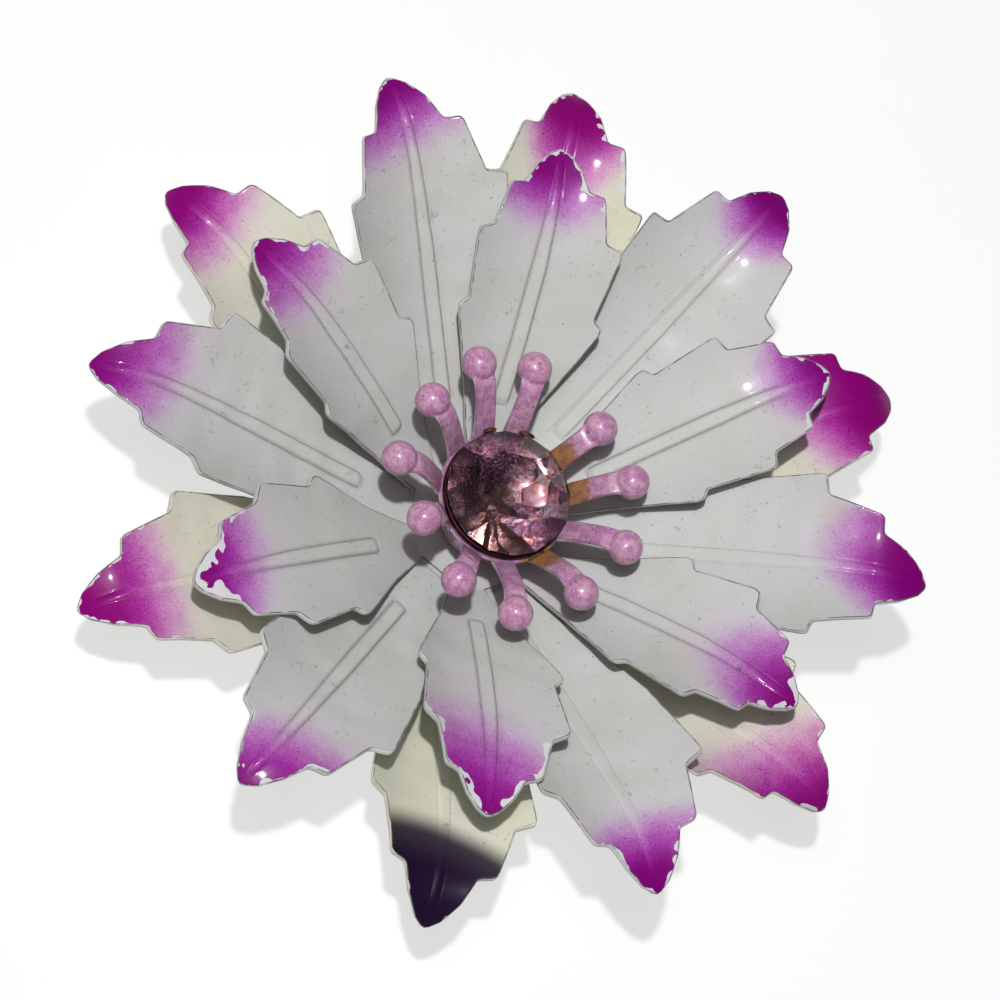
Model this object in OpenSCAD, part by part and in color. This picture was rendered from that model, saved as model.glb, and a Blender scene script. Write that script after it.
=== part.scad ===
// Flower brooch: three stamped and enamelled layers of six toothed petals, a star of eleven
// stamens round a cup with a cut stone, a rivet through the stack and a closed pin at the back.
// Millimetres. +Z is the flower's axis, and z = 0 is the surface that the brooch lies on.

/* [Petals] */
// Reach of a lower or middle petal, measured along its curve from the axis to the tip
large_reach = 42; // [38:0.5:46]
// Reach of an upper petal, measured the same way
small_reach = 35.2; // [32:0.2:37]
// Thickness of an enamelled sheet
sheet = 0.6; // [0.4:0.05:0.7]
// How far a petal's edges stand above its midrib, 7 mm out from the rib
dish = 2.5; // [0:0.1:3]
// Width of the raised midrib
rib_w = 1.5; // [0.8:0.1:2]
// Height of the raised midrib
rib_h = 0.3; // [0:0.05:0.5]
// Longest step between two rows of a petal's surface
row_step = 3; // [2.6:0.1:5]

/* [Stamens] */
// Radius of the ring on which the stamens' round ends stand
stamen_ring = 10.7; // [10:0.1:11.5]
// Height of the round ends' centres above the underside
stamen_top = 18; // [17:0.1:19]
// Outer diameter of a round end
dome_d = 3.1; // [2.8:0.1:3.4]
// Width of a stamen's strap
strap_w = 2; // [1.6:0.05:2.2]
// Thickness of the stamens' sheet
stamen_sheet = 0.45; // [0.35:0.05:0.6]

/* [Stone and cup] */
// Diameter of the stone
stone_d = 11; // [10.6:0.1:11]
// Height of the stone's girdle above the underside
girdle_z = 15.8; // [15.7:0.1:16.4]
// Height of the crown, from the girdle to the table
crown_h = 2; // [1.4:0.1:2.6]
// Depth of the stone below its girdle
pavilion_h = 4.6; // [4.2:0.1:4.8]
// Height of the cup's rim above the underside
cup_rim_z = 15.2; // [15.1:0.1:15.4]

/* [Pin and rivet] */
// Height of the lower petals' underside above the surface that the brooch lies on
back_h = 5.2; // [4.8:0.1:6]
// Length of the pin's bar
bar_l = 30; // [26:1:34]
// Width of the pin's bar and of its hinge block
bar_w = 5; // [4:0.5:6]
// Thickness of the pin's bar
bar_t = 0.7; // [0.5:0.1:0.9]
// Diameter of the pin's stem
stem_d = 0.9; // [0.8:0.1:1.1]
// Height of the stem's middle above the surface that the brooch lies on
stem_z = 1.9; // [1.8:0.1:2.1]
// Diameter of the rivet's shank
shank_d = 2.8; // [2:0.1:3]

/* [Hidden] */
$fn = 48;
// Space left between two pieces of the stack
fit = 0.1;
// Where a petal starts to rise, measured from the axis
root = 6;
// Length over which a petal's dish and twist grow from nothing
ramp_l = 10;
// Where a midrib starts, and how far it stays from the petal's tip
rib_from = 11.5;
rib_stop = 3;
// Distance from the midrib at which dish is measured
dish_at = 7;

// Outline of the large petals, root to tip: [distance along the petal, half width]
large_edge = [
    [6, 2.3], [14, 4.7], [22, 6.6], [29.6, 7.6], [30.3, 7.6], [31.1, 6.05],
    [36.1, 4.95], [36.5, 4.7], [36.8, 3.35], [39.2, 2.45], [41.1, 1.25], [42, 0.25]];
// Outline of the small petals, root to tip: [distance along the petal, half width]
small_edge = [
    [6, 1.6], [9, 2.6], [12, 3.6], [18.4, 6.45], [19.1, 6.5], [19.9, 5.75], [25.6, 6.55],
    [26.2, 6.45], [27, 5.15], [30.8, 4.4], [31.2, 4.2], [31.6, 2.95], [33.4, 2.1],
    [34.7, 1], [35.2, 0.25]];

// Slope of a layer's petals along their length: [distance along the petal, degrees]
lower_slope = [[6, 5], [14, 15], [22, 25], [30, 30], [36, 9], [42, -46]];
middle_slope = [[6, 27], [14, 30], [22, 31], [30, 29], [36, 18], [42, -31]];
upper_slope = [[6, 39], [12, 39], [18, 34], [24, 31], [29, 21], [34, 4], [35.2, 0]];

// The petals of a layer as they were bent: [direction, added slope, twist about the rib], degrees
lower_petals = [
    [17, 0, -5], [77.5, 2.5, 0.5], [137, -2, 1], [196.5, -2.5, 4.5], [257, 0, -1], [316, 2, -4.5]];
middle_petals = [
    [47, 0.8, 2.5], [107, 1.5, 1.5], [166.5, -4.5, 0], [226.5, -1.5, 1.5], [285.3, 0.5, 2],
    [347.5, 1.3, -1.5]];
upper_petals = [
    [21, 0.5, -4.5], [81.5, 2.5, -3.5], [140, 0, 6], [199.5, -3, 1], [260.2, 0.7, 2.8],
    [320, 1.4, -4.5]];

// The stamens as they were bent: [direction in degrees, reach beyond the ring, rise over it]
stamens_bent = [
    [105, 0.65, 0.4], [78, 0.45, 0], [35.5, -0.4, -0.7], [5.5, 0.25, -0.2], [-27, 0.35, 0],
    [-59.5, 0.15, 0], [-92.5, 0.65, -0.4], [-123.5, -0.25, 0.2], [-158, -1.1, 1],
    [169, 0.05, 0], [134, -0.25, 0]];

// Heights of the stack, bottom up
lower_top = back_h + sheet;
middle_top = lower_top + fit + sheet;
upper_top = middle_top + fit + sheet;
bowl_z = upper_top + fit;
cup_z = bowl_z + stamen_sheet + fit;

// The bowl from which the stamens rise, and the hole for the rivet
bowl_foot_r = 3.4;
bowl_rim_r = 6.05;
bowl_rim_z = cup_rim_z - 0.6;
hole_r = shank_d / 2 + fit;
head_r = 2.2;
head_h = 0.55;
cup_wall = 0.5;

// A stamen's strap, from the rim of the bowl to the wall of its round end:
// [part of the way out, part of the way up]
strap_run = [[0, 0], [0.3, 0.42], [0.62, 0.78], [0.85, 0.95], [1, 1]];
// Where the strap starts below the rim, and where it ends, seen from the round end's centre
strap_below = 0.35;
strap_end = [-1.3, 0.3];
// How far a round end leans outwards, the thickness of its wall, and how far it reaches down
dome_lean = 28;
dome_wall = 0.45;
dome_below = 0.85;

// The pin's blocks and its catch
block_l = 3.4;
block_x = bar_l / 2 - block_l / 2 - 0.4;
catch_l = 2.8;
catch_w = 4.2;
catch_bore = 1.9;
catch_slot = 1.2;
tip_l = 3;

// Limits x to the range from 0 to 1
function unit(x) = max(0, min(1, x));

// The outline with its distances stretched to the reach asked for
function stretched(edge, reach) =
    [for (row = edge) [row[0] < root + 1 ? row[0] : row[0] * reach / edge[len(edge) - 1][0], row[1]]];

// Distances of the surface's rows: each stretch of the outline in steps no longer than row_step
function rows(edge) = concat(
    [for (i = [0 : len(edge) - 2])
        let (from = edge[i][0], length = edge[i + 1][0] - from, steps = ceil(length / row_step))
        for (j = [0 : steps - 1]) from + length * j / steps],
    [edge[len(edge) - 1][0]]);

// The midline of a petal in its own upright plane, for each row: [radius, height, slope]
function midline(at, slope, rise, top) = [
    for (i = 0, r = at[0], z = top, a = rise + lookup(at[0], slope);
        i < len(at);
        i = i + 1,
        a_last = a,
        step = i < len(at) ? at[i] - at[i - 1] : 0,
        a = i < len(at) ? rise + lookup(at[i], slope) : a,
        r = r + step * cos((a + a_last) / 2),
        z = z + step * sin((a + a_last) / 2))
    [r, z, a]];

// Seven places across a petal of half width w, and how much of the rib's height each one has
function across(w) =
    let (rib = min(rib_w / 2, 0.4 * w), half = (w + rib) / 2)
    [[-w, 0], [-half, 0], [-rib, 0], [0, 1], [rib, 0], [half, 0], [w, 0]];

// One point of a petal's surface, drop below its upper face
function petal_point(row, s, reach, place, petal, drop) =
    let (
        grown = unit((s - root) / ramp_l),
        ribbed = unit(s - rib_from) * unit((reach - rib_stop - s) / 6),
        y = place[0] * cos(petal[2] * grown),
        r = row[0] + drop * sin(row[2]),
        bowed = dish * pow(place[0] / dish_at, 2) * grown,
        z = row[1] + place[0] * sin(petal[2] * grown) + bowed
            + rib_h * place[1] * ribbed - drop * cos(row[2]))
    [r * cos(petal[0]) - y * sin(petal[0]), r * sin(petal[0]) + y * cos(petal[0]), z];

// A layer: a flat hub with a round hole, and six petals that rise from it
module petal_layer(edge, reach, slope, petals, top) {
    outline = stretched(edge, reach);
    at = rows(outline);
    nr = len(at);
    nc = len(across(1));
    np = len(petals);
    // The hub's inner edge, below its petals' first rows
    function hole_points(drop) = [
        for (petal = petals)
            for (place = across(outline[0][1]))
                let (a = petal[0] + atan2(place[0], root))
                [hole_r * cos(a), hole_r * sin(a), top - drop]];
    function face_points(drop) = [
        for (petal = petals)
            let (line = midline(at, slope, petal[1], top))
            for (i = [0 : nr - 1])
                for (place = across(lookup(at[i], outline)))
                    i == 0
                        ? petal_point([root, top, 0], root, reach, place, petal, drop)
                        : petal_point(line[i], at[i], reach, place, petal, drop)];
    upper = concat(hole_points(0), face_points(0));
    lower = concat(hole_points(sheet), face_points(sheet));
    half = len(upper);
    // Places in the list of points
    function hole(k, c) = (k % np) * nc + c;
    function on(k, i, c) = np * nc + ((k % np) * nr + i) * nc + c;
    // A patch of the upper face and the same patch of the lower one
    function patch(a, b, c, d) = [
        [a, d, c], [a, c, b], [a + half, c + half, d + half], [a + half, b + half, c + half]];
    function wall(a, b) = [[a, b, b + half], [a, b + half, a + half]];
    faces = [
        for (k = [0 : np - 1]) each concat(
            [for (i = [0 : nr - 2]) for (c = [0 : nc - 2])
                each patch(on(k, i, c), on(k, i + 1, c), on(k, i + 1, c + 1), on(k, i, c + 1))],
            [for (c = [0 : nc - 2])
                each patch(hole(k, c), on(k, 0, c), on(k, 0, c + 1), hole(k, c + 1))],
            patch(hole(k, nc - 1), on(k, 0, nc - 1), on(k + 1, 0, 0), hole(k + 1, 0)),
            [for (i = [0 : nr - 2]) each concat(
                wall(on(k, i, 0), on(k, i + 1, 0)),
                wall(on(k, i + 1, nc - 1), on(k, i, nc - 1)))],
            [for (c = [0 : nc - 2]) each concat(
                wall(on(k, nr - 1, c), on(k, nr - 1, c + 1)),
                wall(hole(k, c + 1), hole(k, c)))],
            wall(on(k, 0, nc - 1), on(k + 1, 0, 0)),
            wall(hole(k + 1, 0), hole(k, nc - 1)))];
    polyhedron(points = concat(upper, lower), faces = faces, convexity = 8);
}

module lower_petal_layer() {
    color([0.83, 0.82, 0.74])
        petal_layer(large_edge, large_reach, lower_slope, lower_petals, lower_top);
}

module middle_petal_layer() {
    color([0.80, 0.80, 0.80])
        petal_layer(large_edge, large_reach, middle_slope, middle_petals, middle_top);
}

module upper_petal_layer() {
    color([0.78, 0.78, 0.79])
        petal_layer(small_edge, small_reach, upper_slope, upper_petals, upper_top);
}

// The strap of one stamen whose round end is centred at [radius, height]
module strap(centre) {
    start = [bowl_rim_r - stamen_sheet, bowl_rim_z - strap_below];
    way = centre + strap_end - start;
    path = [for (row = strap_run) [start[0] + row[0] * way[0], start[1] + row[1] * way[1]]];
    n = len(path);
    half = strap_w / 2;
    ring = [[-half, 0], [half, 0], [half, -stamen_sheet], [-half, -stamen_sheet]];
    points = [for (p = path) for (c = ring) [p[0], c[0], p[1] + c[1]]];
    sides = [
        for (i = [0 : n - 2]) for (c = [0 : 3])
            let (a = i * 4 + c, b = i * 4 + (c + 1) % 4)
            [a, b, b + 4, a + 4]];
    polyhedron(points, concat(sides, [[3, 2, 1, 0], [for (c = [0 : 3]) (n - 1) * 4 + c]]));
}

// The hollow round end of a stamen, open below
module dome() {
    rotate([0, dome_lean, 0])
        difference() {
            sphere(d = dome_d);
            sphere(d = dome_d - 2 * dome_wall);
            translate([-dome_d, -dome_d, -dome_d - dome_below])
                cube([2 * dome_d, 2 * dome_d, dome_d]);
        }
}

module stamens() {
    color([0.74, 0.55, 0.76]) {
        rotate_extrude()
            polygon([
                [hole_r, bowl_z], [bowl_foot_r, bowl_z], [bowl_rim_r, bowl_rim_z],
                [bowl_rim_r - stamen_sheet, bowl_rim_z],
                [bowl_foot_r - stamen_sheet, bowl_z + stamen_sheet],
                [hole_r, bowl_z + stamen_sheet]]);
        for (bent = stamens_bent) {
            centre = [stamen_ring + bent[1], stamen_top + bent[2]];
            rotate([0, 0, bent[0]]) {
                strap(centre);
                translate([centre[0], 0, centre[1]])
                    dome();
            }
        }
    }
}

// A pressed cup: a flat floor, a well round the rivet's head, a conical seat and a plain rim
module stone_cup() {
    culet_z = girdle_z - pavilion_h;
    function seat_r(z) = (z - culet_z + 2 * fit) * stone_d / 2 / pavilion_h;
    rim_r = bowl_rim_r - stamen_sheet - fit - 0.05;
    well_r = head_r + fit;
    well_z = culet_z - 2 * fit + well_r * 2 * pavilion_h / stone_d;
    color([0.33, 0.16, 0.19])
        rotate_extrude()
            polygon([
                [hole_r, cup_z], [well_r + cup_wall, cup_z], [well_r + cup_wall, well_z - cup_wall],
                [rim_r, cup_rim_z - cup_wall], [rim_r, cup_rim_z],
                [seat_r(cup_rim_z), cup_rim_z], [well_r, well_z], [well_r, cup_z + cup_wall],
                [hole_r, cup_z + cup_wall]]);
}

// Round stone: an eight-sided table, a crown, a thin girdle and a pointed back
module stone() {
    girdle_h = 0.15;
    table_r = 0.6 * stone_d / 2;
    mains = 8;
    sides = 2 * mains;
    shoulder_r = 0.86 * stone_d / 2;
    color([0.76, 0.50, 0.58])
        translate([0, 0, girdle_z])
            hull() {
                translate([0, 0, crown_h - 0.01])
                    rotate(180 / mains)
                        cylinder(h = 0.01, r = table_r, $fn = mains);
                translate([0, 0, crown_h * 0.46])
                    cylinder(h = 0.01, r = shoulder_r, $fn = mains);
                translate([0, 0, -girdle_h])
                    cylinder(h = girdle_h, d = stone_d, $fn = sides);
                translate([0, 0, -pavilion_h])
                    cylinder(h = 0.01, r = 0.1, $fn = mains);
            }
}

// Rivet through the whole stack, with a head in the cup's well and one under the pin's bar
module rivet() {
    top_z = cup_z + cup_wall + fit / 2;
    bottom_z = back_h - bar_t - fit;
    color([0.72, 0.60, 0.36]) {
        translate([0, 0, bottom_z - head_h])
            cylinder(h = top_z - bottom_z + 2 * head_h, d = shank_d);
        translate([0, 0, bottom_z - head_h])
            cylinder(h = head_h, r = head_r);
        translate([0, 0, top_z])
            cylinder(h = head_h, r = head_r);
    }
}

// A plain closed pin: bar, hinge block, stem and open catch in one piece
module pin_back() {
    bar_z = back_h - fit / 2 - bar_t;
    color([0.76, 0.64, 0.40]) {
        difference() {
            translate([-bar_l / 2, -bar_w / 2, bar_z])
                cube([bar_l, bar_w, bar_t]);
            translate([0, 0, bar_z - 1])
                cylinder(h = bar_t + 2, r = hole_r);
        }
        // Hinge block with a rounded outer corner
        translate([-block_x, bar_w / 2, 0])
            rotate([90, 0, 0])
                linear_extrude(height = bar_w)
                    difference() {
                        translate([-block_l / 2, 0])
                            square([block_l, bar_z + bar_t / 2]);
                        translate([-block_l / 2, 0])
                            difference() {
                                square([1, 1]);
                                translate([1, 1])
                                    circle(r = 1);
                            }
                    }
        // Catch: a block with a round bore, open on one side by a slot
        translate([block_x - catch_l / 2, 0, 0])
            rotate([90, 0, 90])
                linear_extrude(height = catch_l)
                    difference() {
                        translate([-catch_w / 2, 0])
                            square([catch_w, bar_z + bar_t / 2]);
                        translate([0, stem_z])
                            circle(d = catch_bore);
                        translate([0, stem_z - catch_slot / 2])
                            square([catch_w, catch_slot]);
                    }
        // Stem from the hinge block through the catch, with a pointed end
        translate([-block_x, 0, stem_z])
            rotate([0, 90, 0]) {
                cylinder(h = 2 * block_x + catch_l / 2, d = stem_d);
                translate([0, 0, 2 * block_x + catch_l / 2])
                    cylinder(h = tip_l, d1 = stem_d, d2 = 0.2);
            }
    }
}

lower_petal_layer();
middle_petal_layer();
upper_petal_layer();
stamens();
stone_cup();
stone();
rivet();
pin_back();
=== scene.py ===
"""Looks of a layered flower brooch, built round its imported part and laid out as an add-on.

Each operator builds one piece or one group of like pieces: the three enamelled petal layers, the
star of stamens, the cup, the cut stone with its foil, the glue left round the cup, and the rivet
with the pin back. Tables and sizes are in millimetres, in the part's own frame, with the flower's
axis along +Z. Every vertex is scaled to metres as its mesh is made.
"""

import math
from collections import namedtuple

import bmesh
import bpy
import numpy as np
from bpy.props import FloatProperty, FloatVectorProperty, PointerProperty
from mathutils import Matrix, Vector


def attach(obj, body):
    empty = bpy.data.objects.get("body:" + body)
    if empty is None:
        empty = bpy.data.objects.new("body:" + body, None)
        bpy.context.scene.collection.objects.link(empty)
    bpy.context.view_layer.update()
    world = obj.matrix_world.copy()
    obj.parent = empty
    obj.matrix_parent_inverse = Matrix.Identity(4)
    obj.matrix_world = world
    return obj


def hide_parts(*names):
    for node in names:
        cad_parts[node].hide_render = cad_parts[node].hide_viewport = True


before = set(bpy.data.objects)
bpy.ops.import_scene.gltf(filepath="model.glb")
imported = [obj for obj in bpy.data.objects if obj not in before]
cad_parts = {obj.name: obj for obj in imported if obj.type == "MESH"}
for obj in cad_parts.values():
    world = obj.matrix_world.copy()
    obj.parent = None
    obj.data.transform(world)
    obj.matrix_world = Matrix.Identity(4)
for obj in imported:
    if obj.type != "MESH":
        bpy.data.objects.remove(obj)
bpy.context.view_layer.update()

bl_info = {
    "name": "Flower brooch",
    "version": (1, 0, 0),
    "blender": (4, 5, 0),
    "location": "3D View > Sidebar > Brooch",
    "description": "Builds an enamelled flower brooch with a cut stone round its packed part",
    "category": "Add Mesh",
}

MM = 0.001
BODY = "root"

# ---------------------------------------------------------------- petals: shape tables

# Outlines, root to tip: (distance along the petal, half width)
LARGE_EDGE = (
    (6, 2.3), (14, 4.7), (22, 6.6), (29.6, 7.6), (30.3, 7.6), (31.1, 6.05), (36.1, 4.95),
    (36.5, 4.7), (36.8, 3.35), (39.2, 2.45), (41.1, 1.25), (41.85, 0.4), (42, 0))
SMALL_EDGE = (
    (6, 1.6), (9, 2.6), (12, 3.6), (18.4, 6.45), (19.1, 6.5), (19.9, 5.75), (25.6, 6.55),
    (26.2, 6.45), (27, 5.15), (30.8, 4.4), (31.2, 4.2), (31.6, 2.95), (33.4, 2.1), (34.7, 1),
    (35.1, 0.35), (35.2, 0))

# Slopes: (distance along the petal, degrees)
LOWER_SLOPE = ((6, 5), (14, 15), (22, 25), (30, 30), (36, 9), (42, -46))
MIDDLE_SLOPE = ((6, 27), (14, 30), (22, 31), (30, 29), (36, 18), (42, -31))
UPPER_SLOPE = ((6, 39), (12, 39), (18, 34), (24, 31), (29, 21), (34, 4), (35.2, 0))

# One petal as it was bent, sprayed and worn. Degrees, then millimetres: where the spray starts
# and where it is full, how far it is skewed, the chips at its left edge, right edge and tip, and
# where its rib starts. Then how sharply the rib is pressed, how far a painted cast shadow darkens
# the tip, and how far the spray's start bows towards the tip at the sides.
Petal = namedtuple(
    "Petal",
    "direction slope twist fade full skew chips_left chips_right chips_tip rib_start rib deep bow",
    defaults=(1, 0, 0.045))
LOWER_PETALS = (
    Petal(17, 0, -5, 29.7, 35.3, 0.33, 0.2, 0.25, 0.2, 12, 0.5, 0, 0.01),
    Petal(77.5, 2.5, 0.5, 29.8, 36.9, -0.2, 0.15, 0.45, 0.35, 12, 0.6, 0, 0.22),
    Petal(137, -2, 1, 33.3, 38.9, 0.14, 0.1, 0.2, 0.15, 12, 0.6, 0, 0.047),
    Petal(196.5, -2.5, 4.5, 31.5, 38.2, -0.06, 0.35, 0.3, 0.4, 12, 0.7, 0, 0.053),
    # This petal's tip is painted near-black: a painted cast shadow over its purple spray
    Petal(257, 0, -1, 31.0, 35.2, -0.15, 0.1, 0.15, 0.15, 12, 0.4, 1),
    Petal(316, 2, -4.5, 31.7, 39.9, -0.45, 0.35, 0.15, 0.35, 12, 0.25, 0, 0.01))
MIDDLE_PETALS = (
    Petal(47, 0.8, 2.5, 34.0, 39.0, 0.02, 0.25, 0.12, 0.25, 11.5, 0.8, 0, 0.12),
    Petal(107, 1.5, 1.5, 34.4, 40.0, 0.25, 0.1, 0.3, 0.3, 11.5, 1, 0, 0),
    Petal(166.5, -4.5, 0, 32.9, 40.3, -0.28, 0.15, 0.25, 0.2, 12, 1, 0, 0.067),
    Petal(226.5, -1.5, 1.5, 33.8, 40.9, 0.6, 0.45, 0.35, 0.5, 12.5, 1, 0, 0.094),
    Petal(285.3, 0.5, 2, 34.3, 39.3, 0, 0.4, 0.35, 0.45, 12, 0.3, 0, 0.041),
    Petal(347.5, 1.3, -1.5, 31.7, 37.8, 0.4, 0.12, 0.25, 0.2, 12, 0.6, 0, 0.114))
UPPER_PETALS = (
    Petal(21, 0.5, -4.5, 28.4, 33.7, 0.2, 0.35, 0.4, 0.4, 11.5, 1, 0, 0.12),
    Petal(81.5, 2.5, -3.5, 27.7, 32.8, 0.13, 0.4, 0.6, 0.45, 11.5, 1, 0, 0.063),
    Petal(140, 0, 6, 27.1, 33.9, 0, 0.4, 0.6, 0.3, 12, 1, 0, 0.059),
    Petal(199.5, -3, 1, 27.0, 33.3, -0.29, 0.05, 0.55, 1.4, 12.5, 1, 0, 0.082),
    Petal(260.2, 0.7, 2.8, 24.3, 33.9, -0.38, 0.55, 0.6, 0.6, 11.5, 1, 0, 0.078),
    Petal(320, 1.4, -4.5, 25.0, 33.4, 0.11, 0.25, 0.3, 0.75, 12, 1, 0, 0.19))

Layer = namedtuple("Layer", "node edge slope petals top slot seed")
LAYERS = (
    Layer("lower_petal_layer", LARGE_EDGE, LOWER_SLOPE, LOWER_PETALS, 5.8, "ivory_enamel", 3),
    Layer("middle_petal_layer", LARGE_EDGE, MIDDLE_SLOPE, MIDDLE_PETALS, 6.5, "white_enamel", 5),
    Layer("upper_petal_layer", SMALL_EDGE, UPPER_SLOPE, UPPER_PETALS, 7.2, "white_enamel", 8))

ROOT = 6.0  # where a petal leaves the flat hub
RAMP = 10.0  # how much further out its dish and twist are full
DISH_AT = 7.0  # distance from the rib at which the dish is as high as its setting
HUB_HOLE = 1.5  # radius of the rivet's hole
HUB_TURN = 0.35  # half the turn of the hole's edge that one petal's first row meets, in radians
RIB_NARROWS = 24.0  # where the rib begins to narrow
RIB_TIP = 0.55  # its width near the tip, as a part of the full width
RIB_SINKS, RIB_ENDS = 5.2, 1.2  # how far before the tip the rib begins to sink, and is gone
RIB_FLANK = 0.035  # how soft the step at its side is
GROOVE_HALF = 0.1  # half the width of a groove
WIDE_CHIP = 0.6  # chips wider than this bare a whole stretch of the edge
MARKS = 0.1  # spacing of the marks along which a petal's curve is summed
CORNER = 0.62  # radius of the outline's corners
OUTLINE_STEP = 0.34  # the longest step along the outline
TOO_NEAR = 0.01  # points of the outline nearer than this to the last are left out
INSET = 0.3  # how far inside its edge the rows of a petal end
WELD = 0.002  # points closer than this are joined

# Places across a petal near its rib, at the rib's full width
RIB_COLUMNS = (0.2, 0.4, 0.52, 0.6, 0.66, 0.72, 0.78, 0.84, 0.92, 1.05, 1.3, 1.8)
OUTER_COLUMNS = 7
FULL_WIDTH = 2.8  # a row at least this wide has its columns at those places

# What the material reads on the hub, away from every edge and rib
HUB_VALUES = {"spray": 0, "edge": 2, "chip": 0, "groove": 2, "ridge": 0, "deep": 0}

WHITE_BACK = (0.50, 0.50, 0.48)
IVORY_BACK = (0.52, 0.50, 0.42)

# ---------------------------------------------------------------- stamens: shape tables

# One stamen: direction, reach beyond the ring, rise over it, brown stain at its root
Stamen = namedtuple("Stamen", "direction reach rise stain")
STAMENS = (
    Stamen(105, 0.65, 0.4, 0.15), Stamen(78, 0.45, 0, 0.5), Stamen(35.5, -0.4, -0.7, 1),
    Stamen(5.5, 0.25, -0.2, 1), Stamen(-27, 0.35, 0, 0.25), Stamen(-59.5, 0.15, 0, 1),
    Stamen(-92.5, 0.65, -0.4, 0.1), Stamen(-123.5, -0.25, 0.2, 0), Stamen(-158, -1.1, 1, 0.1),
    Stamen(169, 0.05, 0, 0), Stamen(134, -0.25, 0, 0.1))

# A strap's line: (part of the way out, part of the way up, width as a part of the full width)
STRAP_RUN = (
    (0, 0, 1.05), (0.3, 0.42, 0.98), (0.62, 0.78, 0.95), (0.85, 0.95, 0.98), (1, 1, 1.05))
# A strap's section: (across, through), as parts of its half width and of its thickness
STRAP_SECTION = (
    (-1, -0.7), (-0.93, -1), (0.93, -1), (1, -0.7), (1, -0.2), (0.9, 0), (0.45, 0.05), (0, 0.07),
    (-0.45, 0.05), (-0.9, 0), (-1, -0.2))
STRAP_DOWN = 0.35  # how far below the bowl's rim a strap starts
DOME_IN, DOME_UP = 1.3, 0.3  # where it ends, inwards and upwards from its round end's centre
DOME_WALL = 0.45  # thickness of a round end
DOME_OPEN = 0.85  # how far below its centre a round end is open
DOME_LEAN = math.radians(28)  # how far it leans outwards
DOME_SIDES = 40
POLE = 0.02  # the turn at which a dome's section starts beside the axis, in radians
BOWL_FOOT, BOWL_RIM = 3.4, 5.98  # radii of the bowl's foot and rim
FOOT_HEIGHT, RIM_HEIGHT = 7.3, 14.6

# ---------------------------------------------------------------- cup, glue, stone, pin, stage

# The cup's section below its rim: (radius, height) outside, then inside
CUP_OUTSIDE = ((1.5, 7.85), (2.8, 7.85), (2.8, 12.4), (5.5, 14.65), (5.68, 14.85), (5.72, 15.1))
CUP_INSIDE = ((2.3, 12.75), (2.3, 8.35), (1.5, 8.35), (1.5, 7.85))

# Glue left round the cup: direction, radius, height, and the bead's half length, width, height
GLUE_BEADS = (
    (103, 5.95, 15.75, 0.25, 0.66, 0.34), (69, 5.95, 15.7, 0.25, 0.75, 0.32),
    (-62, 5.85, 14.85, 0.3, 0.8, 0.2), (37, 5.85, 14.85, 0.3, 0.8, 0.25))
GLUE_SEED = 40

GIRDLE_EDGE = 0.15  # height of the stone's girdle
SAME_FACET = math.radians(0.5)  # faces that differ by less than this are one facet
FOIL_GAP = 0.02  # how far the foil lies inside the glass
FOIL_TOP = 0.17  # how far below the girdle's height the foil ends

# The pin back's hinge block and catch, and how they and the stem meet the bar
BLOCK_LENGTH, BLOCK_INSET, CATCH_WIDTH, CATCH_LENGTH = 3.4, 2.1, 4.2, 2.8
CATCH_BORE, CATCH_SLOT = 0.95, 0.6  # radius of its hole, and half the slot's height
OVERLAP = 0.3  # how far the blocks go into the bar
SINK = 0.05  # how far the bar lies below the petals' underside
POINT = 3  # length of the stem's point
BEVEL = 0.12
BEVEL_FROM = math.radians(35)  # edges sharper than this are bevelled
SHARP = math.radians(50)  # edges sharper than this are shaded as edges

# The rivet: height of its shank's upper end, radii of shank and head, height of the domed head
RIVET_TOP, RIVET_SHANK, RIVET_HEAD, RIVET_DOME = 8.4, 1.4, 2.2, 0.55

CAMERA_AIM = 10.8  # height of the point that the camera looks at
LIGHT_FROM = (-0.2824, -0.0757, 0.9563)  # direction of the key light and its soft box
KEY_DISTANCE, BOX_DISTANCE, FLOOR_HALF = 0.8, 0.9, 2  # in metres


# ---------------------------------------------------------------- settings


def millimetres(name, description, default):
    """A length in millimetres, as a property."""
    return FloatProperty(name=name, description=description, default=default, min=0, precision=2)


def colour(name, description, default):
    """A colour, as a property."""
    return FloatVectorProperty(
        name=name, description=description, default=default, subtype="COLOR", size=3, min=0, max=1)


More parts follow.
